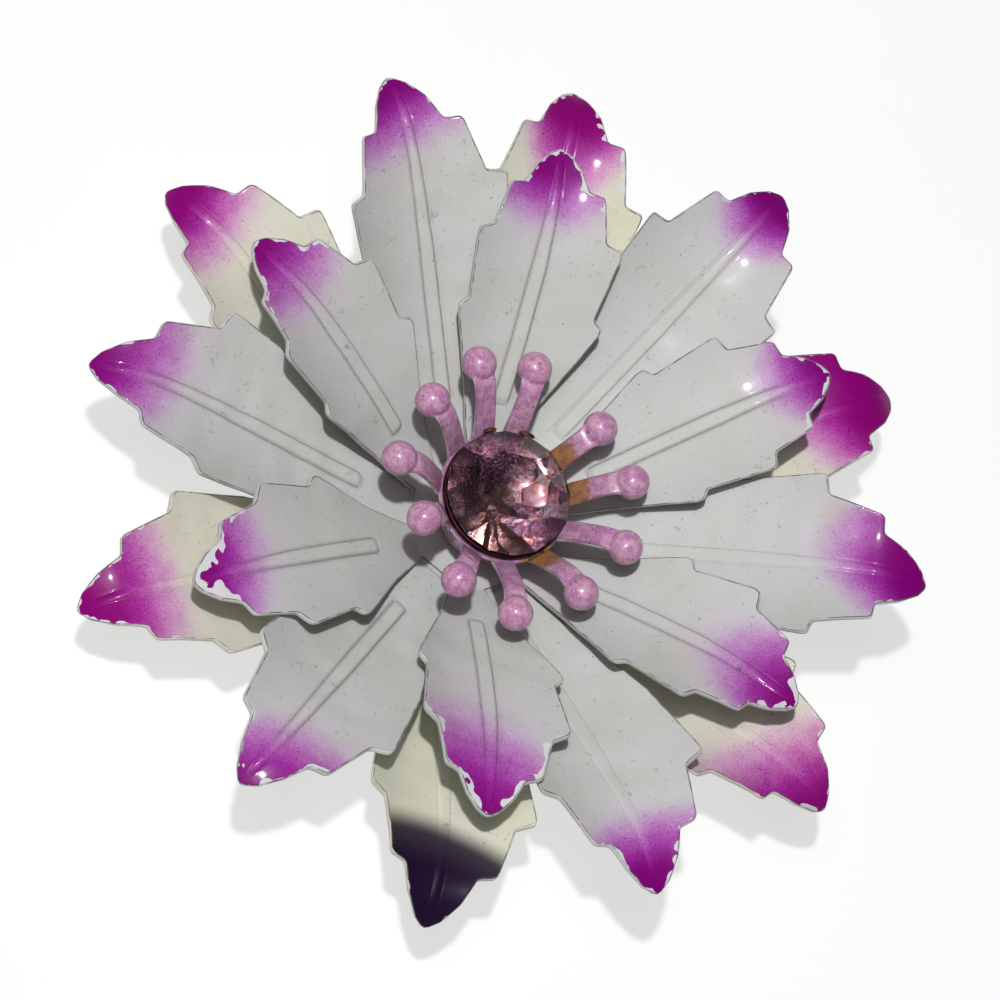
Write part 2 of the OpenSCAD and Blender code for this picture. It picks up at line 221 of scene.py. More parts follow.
class PetalSettings(bpy.types.PropertyGroup):
    """Sizes and colours of the petals."""

    sheet: millimetres("Sheet", "Thickness of an enamelled sheet, in mm", 0.6)
    dish: millimetres("Dish", "How far a petal's edges stand above its rib, in mm", 2.5)
    rib_width: millimetres("Rib width", "Width of the pressed midrib, in mm", 1.42)
    rib_height: millimetres("Rib height", "Height of the pressed midrib, in mm", 0.24)
    groove: millimetres("Groove", "Depth of the groove along each side of the rib, in mm", 0.12)
    edge_round: millimetres("Edge", "Radius of the enamel's rounded edge, in mm", 0.2)
    wave: millimetres("Waves", "Height of the sheet's slight waves, in mm", 0.05)
    white: colour("White", "Colour of the middle and upper petals", (0.505, 0.512, 0.503))
    white_warm: colour("Aged white", "Colour of the yellowed patches", (0.48, 0.483, 0.435))
    ivory: colour("Ivory", "Colour of the lower petals", (0.60, 0.598, 0.50))
    ivory_warm: colour("Aged ivory", "Colour of their yellowed patches", (0.575, 0.572, 0.42))
    dye_thin: colour("Spray, thin", "What a thin coat lets through", (0.90, 0.52, 0.95))
    dye_half: colour("Spray, half", "What a half coat lets through", (0.75, 0.21, 0.77))
    dye_thick: colour("Spray, thick", "What a thick coat lets through", (0.55, 0.045, 0.56))
    dye_full: colour("Spray, full", "What the full coat lets through", (0.36, 0, 0.29))
    # Painted shadow: this near-black colour is laid over the tip that lies in a cast shadow
    painted_tip_shadow: colour("Plum", "Colour of the darkest tip", (0.012, 0.004, 0.022))
    chip: colour("Chips", "Colour of the primer in the chips", (0.57, 0.565, 0.585))
    # This colour draws the thin dark line just inside the petals' edges and the specks and hairs on
    # their backs; the grooves' darkening is painted shade with a colour of its own
    dirt: colour("Dirt", "Colour of the dirt along edges and grooves", (0.08, 0.072, 0.068))


class StamenSettings(bpy.types.PropertyGroup):
    """Sizes and colours of the stamens, their bowl and the glue at their roots."""

    ring: millimetres("Ring", "Radius of the ring of round ends, in mm", 10.7)
    top: millimetres("Height", "Height of the round ends' centres, in mm", 18)
    dome: millimetres("Round end", "Outer diameter of a round end, in mm", 3.1)
    strap: millimetres("Strap", "Width of a strap, in mm", 2.05)
    sheet: millimetres("Sheet", "Thickness of the enamelled sheet, in mm", 0.45)
    grain: millimetres("Mesh size", "Size of the mesh's faces, in mm", 0.1)
    lilac: colour("Lilac", "Main colour of the enamel", (0.40, 0.157, 0.325))
    pink: colour("Pink", "Colour of the paler patches", (0.53, 0.30, 0.405))
    stain: colour("Stain", "Colour of the stains at the roots", (0.30, 0.135, 0.028))
    glue: colour("Glue", "Colour of the old glue", (0.035, 0.014, 0.01))


class StoneSettings(bpy.types.PropertyGroup):
    """Sizes and colours of the stone, its foil and its cup."""

    diameter: millimetres("Diameter", "Diameter of the stone, in mm", 11.35)
    girdle: millimetres("Girdle height", "Height of the girdle over the underside, in mm", 16.2)
    crown: millimetres("Crown", "Height of the crown, in mm", 2)
    pavilion: millimetres("Pavilion", "Depth below the girdle, in mm", 4.75)
    table: FloatProperty(
        name="Table", description="Table's radius as a part of the stone's", default=0.546)
    cup_rim: millimetres("Cup rim", "Height of the cup's rim, in mm", 15.45)
    glass: colour("Glass", "Colour of the glass", (0.94, 0.80, 0.85))
    foil: colour("Foil", "Colour of the foil behind the glass", (0.96, 0.84, 0.87))
    # Painted reflection: this near-black colour lies on one side of the foil, standing in for the
    # dark surroundings it mirrored
    foil_painted_dark: colour("Foil, dark", "Colour where the foil has blackened", (0.10, 0.055, 0.10))
    # Painted shade: the cup's near-black colour stands in for the shade in the gap round the
    # stone's girdle
    cup: colour("Cup", "Colour of the darkened cup", (0.03, 0.005, 0.01))


class PinSettings(bpy.types.PropertyGroup):
    """Sizes and colours of the pin back and the rivet."""

    underside: millimetres("Underside", "Height of the petals' underside, in mm", 5.2)
    length: millimetres("Bar length", "Length of the bar, in mm", 30)
    width: millimetres("Bar width", "Width of the bar, in mm", 5)
    thickness: millimetres("Bar thickness", "Thickness of the bar, in mm", 0.7)
    stem: millimetres("Stem", "Diameter of the stem, in mm", 0.9)
    stem_height: millimetres("Stem height", "Height of the stem's middle, in mm", 1.9)
    brass: colour("Brass", "Colour of the bare brass", (0.62, 0.44, 0.19))
    tarnish: colour("Tarnish", "Colour of the tarnished brass", (0.16, 0.10, 0.05))


class StageSettings(bpy.types.PropertyGroup):
    """Camera, light and floor."""

    tilt: FloatProperty(
        name="Tilt", description="Camera's angle off the flower's axis",
        default=math.radians(25.71), subtype="ANGLE")
    turn: FloatProperty(
        name="Turn", description="Direction towards the camera, from +X",
        default=math.radians(221.96), subtype="ANGLE")
    distance: FloatProperty(
        name="Distance", description="Camera's distance", default=0.513, unit="LENGTH")
    lens: FloatProperty(name="Lens", description="Focal length, in mm", default=209.9)
    shift: FloatProperty(
        name="Framing", description="How far the camera stands right of and above the flower",
        default=0.00094, unit="LENGTH")
    key: FloatProperty(name="Key light", description="Power of the key light, in W", default=5.55)
    key_size: FloatProperty(
        name="Key size", description="Diameter of the key light", default=0.027, unit="LENGTH")
    box: FloatProperty(name="Soft box", description="Power of the soft box, in W", default=1.7)
    box_size: FloatProperty(
        name="Soft box size", description="Diameter of the soft box", default=0.36, unit="LENGTH")
    sky: FloatProperty(name="Fill", description="Strength of the fill from all round", default=0.05)
    floor: colour("Floor", "Colour of the floor", (0.3, 0.3, 0.3))
    glow: FloatProperty(name="Floor light", description="Light from under the floor", default=2.15)


# ---------------------------------------------------------------- shader nodes


class Tree:
    """Adds nodes to a shader tree and links them as they are added."""

    def __init__(self, tree):
        self.tree = tree

    def put(self, socket, value):
        """Links a node or socket to a socket, or sets the socket's own value."""
        if isinstance(value, bpy.types.Node):
            value = next(o for o in value.outputs if o.enabled)
        if isinstance(value, bpy.types.NodeSocket):
            self.tree.links.new(value, socket)
        elif socket.type == "RGBA" and len(value) == 3:
            socket.default_value = (*value, 1)
        else:
            socket.default_value = value

    def add(self, kind, inputs=None, **settings):
        """A node of one kind, with its settings and inputs."""
        node = self.tree.nodes.new("ShaderNode" + kind)
        for name, value in settings.items():
            setattr(node, name, value)
        return self.fill(node, inputs or {})

    def fill(self, node, inputs):
        """Puts values into a node's sockets."""
        for name, value in inputs.items():
            self.put(node.inputs[name], value)
        return node

    def math(self, operation, a, b=0.0, c=0.0, clamp=False):
        """One Math node."""
        return self.add("Math", {0: a, 1: b, 2: c}, operation=operation, use_clamp=clamp)

    def span(self, value, low, high, to_low=0.0, to_high=1.0):
        """A value's smooth way from low to high."""
        return self.add(
            "MapRange", {0: value, 1: low, 2: high, 3: to_low, 4: to_high},
            interpolation_type="SMOOTHSTEP")

    def mix(self, share, a, b, way="MIX"):
        """A colour part of the way from a to b."""
        node = self.tree.nodes.new("ShaderNodeMix")
        node.data_type, node.blend_type = "RGBA", way
        return self.fill(node, {0: share, 6: a, 7: b}).outputs[2]

    def noise(self, place, scale, detail=2.0, rough=0.5, bend=0.0):
        """A noise value of a scale given in cells per millimetre."""
        node = self.add(
            "TexNoise",
            {"Vector": place, "Scale": scale, "Detail": detail, "Roughness": rough,
             "Distortion": bend})
        return node.outputs["Fac"]

    def in_mm(self, place):
        """A place in metres, in millimetres."""
        return self.add("VectorMath", {0: place, "Scale": 1 / MM}, operation="SCALE")

    def torn(self, place, scale, far):
        """A place moved to and fro, so that what is drawn there gets ragged edges."""
        noise = self.add("TexNoise", {"Vector": place, "Scale": scale, "Detail": 1.0})
        return self.add(
            "VectorMath", {0: noise.outputs["Color"], 1: (far,) * 3, 2: place},
            operation="MULTIPLY_ADD")

    def dots(self, place, scale, channel, most, least, low, high):
        """A dot in each cell, of a random size from least to least + most, or none below 0.

        The dot's edge is soft from low to high, and channel picks its random number."""
        cells = self.add("TexVoronoi", {"Vector": place, "Scale": scale})
        pick = self.add("SeparateColor", {0: cells.outputs["Color"]})
        size = self.math("MULTIPLY_ADD", pick.outputs[channel], most, least)
        return self.span(self.math("SUBTRACT", size, cells.outputs["Distance"]), low, high)

    def relief(self, height, strength, depth):
        """Fine relief with a depth in millimetres."""
        return self.add("Bump", {"Strength": strength, "Distance": depth * MM, "Height": height})

    def value(self, name):
        """A value that the mesh holds at its points."""
        return self.add("Attribute", attribute_name=name).outputs["Fac"]

    def effect(self, name, inputs):
        """A shared effect, built the first time that a material asks for it."""
        node = self.tree.nodes.new("ShaderNodeGroup")
        node.node_tree = bpy.data.node_groups.get(name) or EFFECTS[name]()
        return self.fill(node, inputs)


def new_group(name, inputs, outputs):
    """An empty node group: its tree and its ends. Sockets are given as {name: default or None}."""
    group = bpy.data.node_groups.new(name, "ShaderNodeTree")
    for label, default in inputs.items():
        kind = "NodeSocketVector" if default is None else "NodeSocketFloat"
        socket = group.interface.new_socket(name=label, in_out="INPUT", socket_type=kind)
        if default is not None:
            socket.default_value = default
    for label in outputs:
        group.interface.new_socket(name=label, in_out="OUTPUT", socket_type="NodeSocketFloat")
    start = group.nodes.new("NodeGroupInput")
    end = group.nodes.new("NodeGroupOutput")
    return group, Tree(group), start.outputs, end.inputs


def dust_group():
    """Dust, hairs and patches on old enamel, from a place in metres."""
    group, tree, given, made = new_group(
        "Dust and patches", {"Place": None, "Speck size": 0.07},
        ("Specks", "Flecks", "Hairs", "Patches", "Grain"))
    place = tree.in_mm(given["Place"])
    specks = tree.dots(
        place, scale=0.85, channel=0, most=given["Speck size"], least=0.0, low=-0.03, high=0.02)
    tree.put(made["Specks"], specks)
    flecks = tree.dots(
        tree.torn(place, scale=3.0, far=0.5), scale=2.4, channel=1, most=0.34, least=-0.14,
        low=-0.06, high=0.05)
    tree.put(made["Flecks"], flecks)
    lines = tree.math("ABSOLUTE", tree.math("SUBTRACT", tree.noise(place, 0.55, 1, 0.4, 1.2), 0.5))
    some = tree.span(tree.noise(place, 0.8, 0), 0.62, 0.68)
    thin = tree.span(lines, 0.012, 0.004)
    tree.put(made["Hairs"], tree.math("MULTIPLY", thin, some))
    tree.put(made["Patches"], tree.noise(place, 0.12, 3, 0.6))
    tree.put(made["Grain"], tree.noise(place, 6, 2, 0.6))
    return group


def spray_group():
    """The grainy fade of an airbrushed tip, from how much colour was laid down."""
    group, tree, given, made = new_group("Sprayed tip", {"Spray": 0.0, "Place": None}, ("Density",))
    place = tree.in_mm(given["Place"])
    grain = tree.math("SUBTRACT", tree.noise(place, 6.5, 2, 0.8), 0.5)
    clouds = tree.math("SUBTRACT", tree.noise(place, 0.6, 2, 0.5), 0.5)
    free = tree.math("SUBTRACT", 1.0, given["Spray"])
    room = tree.math("MULTIPLY", tree.math("MULTIPLY", given["Spray"], free), 4.0)
    uneven = tree.math("MULTIPLY", tree.math("MULTIPLY_ADD", grain, 1.9, clouds), room)
    drops = tree.dots(
        tree.torn(place, scale=5.0, far=0.25), scale=5.2, channel=0, most=0.6, least=-0.14,
        low=-0.05, high=0.08)
    reach = tree.math("POWER", tree.span(given["Spray"], 0.0, 0.2, 0.0, 0.025), 0.5)
    drops = tree.math("MULTIPLY", drops, reach)
    laid = tree.math("MULTIPLY_ADD", uneven, 0.3, given["Spray"])
    tree.put(made["Density"], tree.math("ADD", laid, drops, clamp=True))
    return group


def wear_group():
    """Chips and a thin dark line just inside an enamelled edge, from the distance to that edge in
    mm.
    """
    group, tree, given, made = new_group(
        "Worn edge", {"Edge": 1.0, "Chip": 0.0, "Place": None}, ("Bare", "Line", "Lip"))
    place = tree.in_mm(given["Place"])
    bites = tree.span(tree.noise(place, 1.0, 0), 0.38, 0.66, 0.25, 1.25)
    bites = tree.math("MULTIPLY", bites, tree.math("MINIMUM", given["Chip"], WIDE_CHIP))
    deep = tree.math("MAXIMUM", tree.math("SUBTRACT", given["Chip"], WIDE_CHIP), 0.0)
    ragged = tree.math("SUBTRACT", tree.noise(place, 3.2, 2, 0.6), 0.5)
    width = tree.math("MULTIPLY_ADD", ragged, 0.16, tree.math("ADD", bites, deep))
    chipped = tree.span(tree.math("SUBTRACT", width, given["Edge"]), -0.01, 0.02)
    asked = tree.span(given["Chip"], 0.02, 0.06)
    bare = tree.math("MULTIPLY", chipped, asked)
    tree.put(made["Bare"], bare)
    inner = tree.span(given["Edge"], 0.2, 0.13)
    outer = tree.span(given["Edge"], 0.04, 0.08)
    broken = tree.span(tree.noise(place, 0.9, 2), 0.35, 0.6, 0.35, 1.0)
    tree.put(made["Line"], tree.math("MULTIPLY", tree.math("MULTIPLY", inner, outer), broken))
    tree.put(made["Lip"], tree.span(given["Edge"], 0.1, 0.04))
    return group


def tarnish_group():
    """Tarnish and fine scratches on bare metal, from a place in metres."""
    group, tree, given, made = new_group(
        "Tarnished metal", {"Place": None, "Amount": 0.5}, ("Tarnish", "Scratches"))
    place = tree.in_mm(given["Place"])
    blots = tree.noise(place, 0.5, 4, 0.65)
    low = tree.math("SUBTRACT", 0.85, given["Amount"])
    tree.put(made["Tarnish"], tree.span(blots, low, tree.math("ADD", low, 0.25)))
    along = tree.add("VectorMath", {0: place, 1: (0.25, 5.0, 5.0)}, operation="MULTIPLY")
    tree.put(made["Scratches"], tree.noise(along, 2, 3, 0.7))
    return group


EFFECTS = {
    "Dust and patches": dust_group, "Sprayed tip": spray_group, "Worn edge": wear_group,
    "Tarnished metal": tarnish_group}


def new_material(name):
    """A material with its tree, its shader, and the object's own coordinates."""
    material = bpy.data.materials.new(name)
    material.use_nodes = True
    tree = Tree(material.node_tree)
    shader = material.node_tree.nodes["Principled BSDF"]
    place = tree.add("TexCoord").outputs["Object"]
    return material, tree, shader, place


def petal_enamel(name, pale, warm, petals):
    """Gloss enamel with sprayed tips, thin dark lines along the edges, chips and dust, painted
    shade in the grooves beside the rib, and a painted cast shadow over one tip.
    """
    material, tree, shader, place = new_material(name)
    dust = tree.effect("Dust and patches", {"Place": place})
    spray = tree.effect("Sprayed tip", {"Spray": tree.value("spray"), "Place": place})
    wear = tree.effect(
        "Worn edge", {"Edge": tree.value("edge"), "Chip": tree.value("chip"), "Place": place})
    base = tree.mix(tree.span(dust.outputs["Patches"], 0.4, 0.75), pale, warm)
    ridge = tree.span(tree.value("ridge"), 0.2, 0.9, 0, 0.45)
    base = tree.mix(ridge, base, tuple(c * f for c, f in zip(warm, (1.08, 1.09, 1.12))))
    dye = tree.add("ValToRGB", {0: spray.outputs["Density"]})
    for at, coat in (
            (0.25, petals.dye_thin), (0.5, petals.dye_half), (0.75, petals.dye_thick)):
        dye.color_ramp.elements.new(at).color = (*coat, 1)
    dye.color_ramp.elements[0].color = (1, 1, 1, 1)
    dye.color_ramp.elements[-1].color = (*petals.dye_full, 1)
    skin = tree.mix(1.0, base, dye.outputs[0], "MULTIPLY")
    # Painted shadow: where the deep value is set, the colour goes to near-black, as under a cast
    # shadow
    skin = tree.mix(tree.value("deep"), skin, petals.painted_tip_shadow)
    # Painted shade: the grooves beside the rib, and a soft band round them, are darkened as if in
    # shade
    groove = tree.span(tree.value("groove"), 0.13, 0.02, 0.0, 0.62)
    groove_shade_halo = tree.span(tree.value("groove"), 0.5, 0.0, 0.0, 0.16)
    groove_shade = tree.math("MAXIMUM", groove, groove_shade_halo)
    broken = tree.span(dust.outputs["Grain"], 0.3, 0.6, 0.6, 1)
    skin = tree.mix(tree.math("MULTIPLY", groove_shade, broken), skin, (0.12, 0.09, 0.11))
    skin = tree.mix(wear.outputs["Bare"], skin, petals.chip)
    skin = tree.mix(tree.math("MULTIPLY", wear.outputs["Lip"], 0.75), skin, pale)
    skin = tree.mix(tree.math("MULTIPLY", wear.outputs["Line"], 0.9), skin, petals.dirt)
    dirt = tree.math("MULTIPLY", dust.outputs["Flecks"], 0.45)
    dirt = tree.math("MULTIPLY_ADD", dust.outputs["Hairs"], 0.4, dirt)
    dirt = tree.math("MULTIPLY_ADD", dust.outputs["Specks"], 0.8, dirt, clamp=True)
    skin = tree.mix(dirt, skin, (0.3, 0.26, 0.3), "MULTIPLY")
    dull = tree.span(dust.outputs["Patches"], 0.3, 0.7, 0.34, 0.5)
    # The painted shadow also takes the coat's sheen away, as on a tip in shade
    matt = tree.math("MAXIMUM", wear.outputs["Bare"], tree.value("deep"))
    height = tree.math("MULTIPLY_ADD", wear.outputs["Bare"], -1.0, dust.outputs["Grain"])
    tree.fill(shader, {
        "Base Color": skin,
        "Roughness": tree.math("MULTIPLY_ADD", wear.outputs["Bare"], 0.3, dull),
        "Coat Weight": tree.math("SUBTRACT", 0.12, tree.math("MULTIPLY", matt, 0.11)),
        "Coat Roughness": 0.11,
        "Specular IOR Level": 0.08,
        "Normal": tree.relief(height, 0.35, 0.03)})
    return material


def petal_back(name, pale, petals):
    """Thinner, duller enamel of the undersides and cut edges."""
    material, tree, shader, place = new_material(name)
    dust = tree.effect("Dust and patches", {"Place": place, "Speck size": 0.12})
    grimy = tree.span(dust.outputs["Patches"], 0.35, 0.7, 0.0, 0.55)
    skin = tree.mix(grimy, pale, tuple(c * 0.6 for c in pale))
    skin = tree.mix(tree.math("MULTIPLY", dust.outputs["Specks"], 0.7), skin, petals.dirt)
    skin = tree.mix(tree.math("MULTIPLY", dust.outputs["Hairs"], 0.4), skin, petals.dirt)
    tree.fill(shader, {
        "Base Color": skin,
        "Roughness": tree.span(dust.outputs["Grain"], 0.3, 0.7, 0.38, 0.55),
        "Normal": tree.relief(dust.outputs["Grain"], 0.3, 0.04)})
    return material


# ---------------------------------------------------------------- meshes


def new_mesh(name, points, faces):
    """A mesh from points in millimetres."""
    mesh = bpy.data.meshes.new(name)
    mesh.from_pydata((np.asarray(points) * MM).tolist(), [], faces)
    return mesh


def written(work, name):
    """A mesh from an edited one, which is freed."""
    mesh = bpy.data.meshes.new(name)
    work.to_mesh(mesh)
    work.free()
    return mesh


def merged(name, *meshes):
    """Several meshes as one."""
    work = bmesh.new()
    for mesh in meshes:
        work.from_mesh(mesh)
    return written(work, name)


def finished(mesh, name, material, slot, *nodes):
    """Puts a mesh in the scene as a piece that rides on the body and stands for CAD nodes."""
    mesh.materials.append(material)
    mesh.shade_smooth()
    piece = bpy.data.objects.new(name, mesh)
    bpy.context.scene.collection.objects.link(piece)
    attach(piece, BODY)
    if nodes:
        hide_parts(*nodes)
    return piece


def keep(mesh, name, values):
    """Stores one value for each point of a mesh."""
    attribute = mesh.attributes.new(name, "FLOAT", "POINT")
    attribute.data.foreach_set("value", np.asarray(values, dtype=np.float32))


def wavy(count, length, seed):
    """Smooth waves between about -1 and 1 along a line of count points, length points a wave."""
    random = np.random.default_rng(seed)
    knots = random.uniform(-1, 1, int(count / length) + 3)
    return np.interp(np.arange(count) / length, np.arange(len(knots)), knots)


def rounded(corners, radius, step):
    """A line through corners that rounds them off, with points no further apart than step."""
    corners = [np.array(c, float) for c in corners]
    line = [corners[0]]
    for before, corner, after in zip(corners, corners[1:], corners[2:]):
        back, on = before - corner, after - corner
        lengths = np.linalg.norm(back), np.linalg.norm(on)
        back, on = back / lengths[0], on / lengths[1]
        turn = math.pi - math.acos(np.clip(back @ on, -1, 1))
        cut = min(radius * math.tan(turn / 2), 0.45 * lengths[0], 0.45 * lengths[1])
        for t in np.linspace(0, 1, 5):
            line.append(corner + back * cut * (1 - t) ** 2 + on * cut * t ** 2)
    line.append(corners[-1])
    dense = [line[0]]
    for a, b in zip(line, line[1:]):
        parts = max(1, math.ceil(np.linalg.norm(b - a) / step))
        dense += [a + (b - a) * k / parts for k in range(1, parts + 1)]
    apart = [dense[0]]
    for point in dense[1:]:
        if np.linalg.norm(point - apart[-1]) > TOO_NEAR:
            apart.append(point)
    return np.array(apart)


def outward(line):
    """Unit normals of a petal's outline, which point away from the petal."""
    way = np.gradient(line, axis=0)
    way[-1] = (0, -1)
    way /= np.linalg.norm(way, axis=1)[:, None]
    return np.stack([-way[:, 1], way[:, 0]], 1)


def distance_to(line, points):
    """Each point's distance to a line of points, and the place of the nearest one on it."""
    a, b = line[:-1], line[1:]
    way = b - a
    part = ((points[:, None] - a) * way).sum(2) / (way ** 2).sum(1)
    nearest = a + way * part.clip(0, 1)[..., None]
    gaps = np.linalg.norm(points[:, None] - nearest, axis=2)
    best = gaps.argmin(1)
    rows = np.arange(len(points))
    return gaps[rows, best], best + part[rows, best].clip(0, 1)


def summed(rates):
    """The running total of a rate that is given at each mark along a petal."""
    return np.concatenate([[0], np.cumsum((rates[1:] + rates[:-1]) / 2 * MARKS)])


class PetalShape:
    """The surface of one layer's petals, from a distance along the petal and one across it."""

    def __init__(self, layer, petal, sizes, number):
        self.petal, self.sizes = petal, sizes
        self.reach = layer.edge[-1][0]
        self.s = np.arange(0, self.reach + 2, MARKS)
        slope = petal.slope + np.interp(self.s, *zip(*layer.slope))
        self.angle = np.where(self.s < ROOT, 0, np.radians(slope))
        run = np.cos(self.angle)
        self.radius = summed(run)
        self.height = layer.top + summed(run * np.tan(self.angle))
        self.waves = np.random.default_rng(layer.seed * 10 + number).uniform(-1, 1, (6, 3))

    def rib_half(self, s):
        """Half the rib's width."""
        narrowing = np.interp(s, (RIB_NARROWS, self.reach - 1.5), (1, RIB_TIP))
        return self.sizes.rib_width / 2 * narrowing

    def rib(self, s, y):
        """How far rib and grooves lift the sheet, the distance to a groove, and the rib alone."""
        half = self.rib_half(s)
        inside = np.clip(self.petal.rib_start + half - s, 0, None)
        out = (inside ** 4 + np.abs(y) ** 4) ** 0.25
        grown = np.clip((self.reach - RIB_ENDS - s) / (RIB_SINKS - RIB_ENDS), 0, 1)
        grown = grown * self.petal.rib
        crown = self.sizes.rib_height * np.clip(1.25 - (out / half) ** 2 * 0.45, 0.8, 1)
        body = crown / (1 + np.exp((out - half + GROOVE_HALF) / RIB_FLANK))
        dent = self.sizes.groove * np.exp(-(((out - half) / GROOVE_HALF) ** 2))
        return (body - dent) * grown, np.abs(out - half) + (1 - grown) * 0.6, body * grown

    def place(self, s, y, drop):
        """Points on the petal, a drop below its upper face."""
        petal = self.petal
        radius = np.interp(s, self.s, self.radius)
        height = np.interp(s, self.s, self.height)
        angle = np.interp(s, self.s, self.angle)
        grown = np.clip((s - ROOT) / RAMP, 0, 1)
        twist = math.radians(petal.twist) * grown
        wave = sum(
            w[0] * np.sin(s * (0.25 + 0.3 * k) + y * (0.35 + 0.15 * k) * w[1] + 6 * w[2])
            for k, w in enumerate(self.waves)) / 2
        height = height + y * np.sin(twist) + self.sizes.dish * (y / DISH_AT) ** 2 * grown
        height += self.rib(s, y)[0] + self.sizes.wave * wave * grown
        across = y * np.cos(twist)
        out = radius + drop * np.sin(angle)
        turn = math.radians(petal.direction)
        return np.stack(
            [out * math.cos(turn) - across * math.sin(turn),
             out * math.sin(turn) + across * math.cos(turn),
             height - drop * np.cos(angle)], -1)

    def front(self, s, y):
        """Distance along the petal as the skewed and bowed front of the spray measures it."""
        return s + self.petal.skew * y - self.petal.bow * y ** 2

    def spray(self, s, y):
        """How much colour the airbrush laid down: less on the rib, with soft ends to its fade."""
        petal = self.petal
        rib = 0.5 * np.exp(-((y / self.rib_half(s)) ** 4))
        way = (self.front(s, y) - rib - petal.fade + 0.15) / (petal.full - petal.fade)
        way = (way + np.sqrt(way ** 2 + 0.03)) / 2
        return 1 - ((1 - way) + np.sqrt((1 - way) ** 2 + 0.01)) / 2


def columns(width):
    """Places across a petal for each of its rows, from one side to the other."""
    scale = np.minimum(1, width / FULL_WIDTH)[:, None]
    near = np.array(RIB_COLUMNS)[None, :] * scale
    share = (np.arange(OUTER_COLUMNS) + 1)[None, :] / OUTER_COLUMNS
    far = near[:, -1:] + (width[:, None] - near[:, -1:]) * share
    half = np.concatenate([near, far], 1)
    return np.concatenate([-half[:, ::-1], np.zeros((len(width), 1)), half], 1)


def edge_rings(sizes):
    """The edge's section, from the upper face round to the lower: (inset, drop)."""
    r = sizes.edge_round
    turns = [math.radians(a) for a in (0, 30, 60, 90)]
    upper = [(r * (1 - math.sin(a)), r * (1 - math.cos(a))) for a in turns]
    lower = [(r / 2 * (1 - math.sin(a)), sizes.sheet - r / 2 * (1 - math.cos(a))) for a in turns]
    return [(INSET, 0.0)] + upper, lower[::-1] + [(INSET, sizes.sheet)]


class Sheet:
    """One layer's points, with the values that the material reads at each."""

    def __init__(self):
        self.points, self.total = [], 0
        self.stored = {name: [] for name in HUB_VALUES}

    def add(self, points, values):
        """Adds points with their values, and gives the points' numbers."""
        self.points.append(points)
        for name, value in values.items():
            self.stored[name].append(np.broadcast_to(value, len(points)))
        self.total += len(points)
        return np.arange(self.total - len(points), self.total)


def petal_sheet(layer, sizes):
    """A whole layer: its sheet, the faces of the upper face, and the faces of the rest."""
    outline = rounded(layer.edge, CORNER, OUTLINE_STEP)
    normals = outward(outline)
    inside = outline - INSET * normals
    across = columns(inside[:, 1].clip(0))
    along = np.repeat(np.maximum.accumulate(inside[:, 0])[:, None], across.shape[1], 1)
    face = np.stack([along.ravel(), across.ravel()], 1)
    upper_rings, lower_rings = edge_rings(sizes)
    rim = []
    for inset, drop in upper_rings[1:] + lower_rings[:-1]:
        ring = outline - inset * normals
        ring[:, 1] = ring[:, 1].clip(0)
        rim.append((ring, drop))
    sheet, upper, rest, first_rows = Sheet(), [], [], []
    for number, petal in enumerate(layer.petals):
        shape = PetalShape(layer, petal, sizes, number)
        chips = chip_widths(petal, outline, layer.seed * 20 + number)

        def lay(places, drop):
            points = shape.place(places[:, 0], places[:, 1], drop)
            return sheet.add(points, stored_values(shape, places, outline, chips))

        top, bottom = (lay(face, drop).reshape(across.shape) for drop in (0.0, sizes.sheet))
        upper += quads(top)
        rest += quads(bottom[:, ::-1])
        for sign, side in ((-1, 0), (1, -1)):
            rings = [lay(ring * (1, sign), drop) for ring, drop in rim]
            grid = np.stack([top[:, side], *rings, bottom[:, side]], 1)[:, ::sign]
            bands = grid.shape[1] - 1
            for k, quad in enumerate(quads(grid)):
                band = k % bands if sign > 0 else bands - 1 - k % bands
                (upper if band < len(upper_rings) - 2 else rest).append(quad)
        first_rows.append((top[0], bottom[0]))
    add_hub(layer, sizes, sheet, first_rows, upper, rest)
    return sheet, upper, rest


def quads(grid):
    """Faces between the rows of a grid of point numbers."""
    a, b = grid[:-1, :-1], grid[1:, :-1]
    c, d = grid[1:, 1:], grid[:-1, 1:]
    return np.stack([a, b, c, d], -1).reshape(-1, 4).tolist()


def stored_values(shape, places, outline, chips):
    """Works out what the material reads at some of a petal's points."""
    petal = shape.petal
    s, y = places[:, 0], places[:, 1]
    gap, where = distance_to(outline, np.stack([s, np.abs(y)], 1))
    _, groove, ridge = shape.rib(s, y)
    left, right = (np.interp(where, np.arange(len(outline)), side) for side in chips)
    inwards = shape.front(s, y) - petal.fade
    # The painted shadow on the tip is dark 2.8 mm into the spray, and darkest 6 mm in
    dark = 0.94 * smooth(inwards / 2.8) + 0.06 * smooth((inwards - 1) / 5)
    # Under the painted shadow the spray is left out, so the colour runs from white straight into
    # the painted shade
    return {
        "spray": shape.spray(s, y).clip(0, 1) * (1 - petal.deep), "edge": gap,
        "chip": np.where(y > 0, left, right), "groove": groove,
        "ridge": ridge / max(shape.sizes.rib_height, 1e-6), "deep": petal.deep * dark}


def smooth(way):
    """The smooth way from 0 to 1."""
    way = np.clip(way, 0, 1)
    return way * way * (3 - 2 * way)


def chip_widths(petal, outline, seed):
    """How wide the enamel is chipped along each side of a petal, at each point of its outline."""
    s = outline[:, 0]
    tip = np.clip((s - s[-1] + 3.6) / 1.4, 0, 1)
    # Chips begin a little within the spray, and wide ones a little before it
    start = np.clip((s - petal.fade - 0.5) / 2.5, 0, 1)
    widths = []
    for k, width in enumerate((petal.chips_left, petal.chips_right)):
        worn = width + (petal.chips_tip - width) * tip
        bites = 0.8 + 0.5 * wavy(len(s), 2.6, seed + 7 * k)
        reach = np.clip((s - petal.fade + 1.5) / 1.5, 0, 1) if width > WIDE_CHIP else start
        widths.append(worn * np.clip(bites, 0, 1.25) * reach)
    widths[1][-1] = widths[0][-1]
    return widths


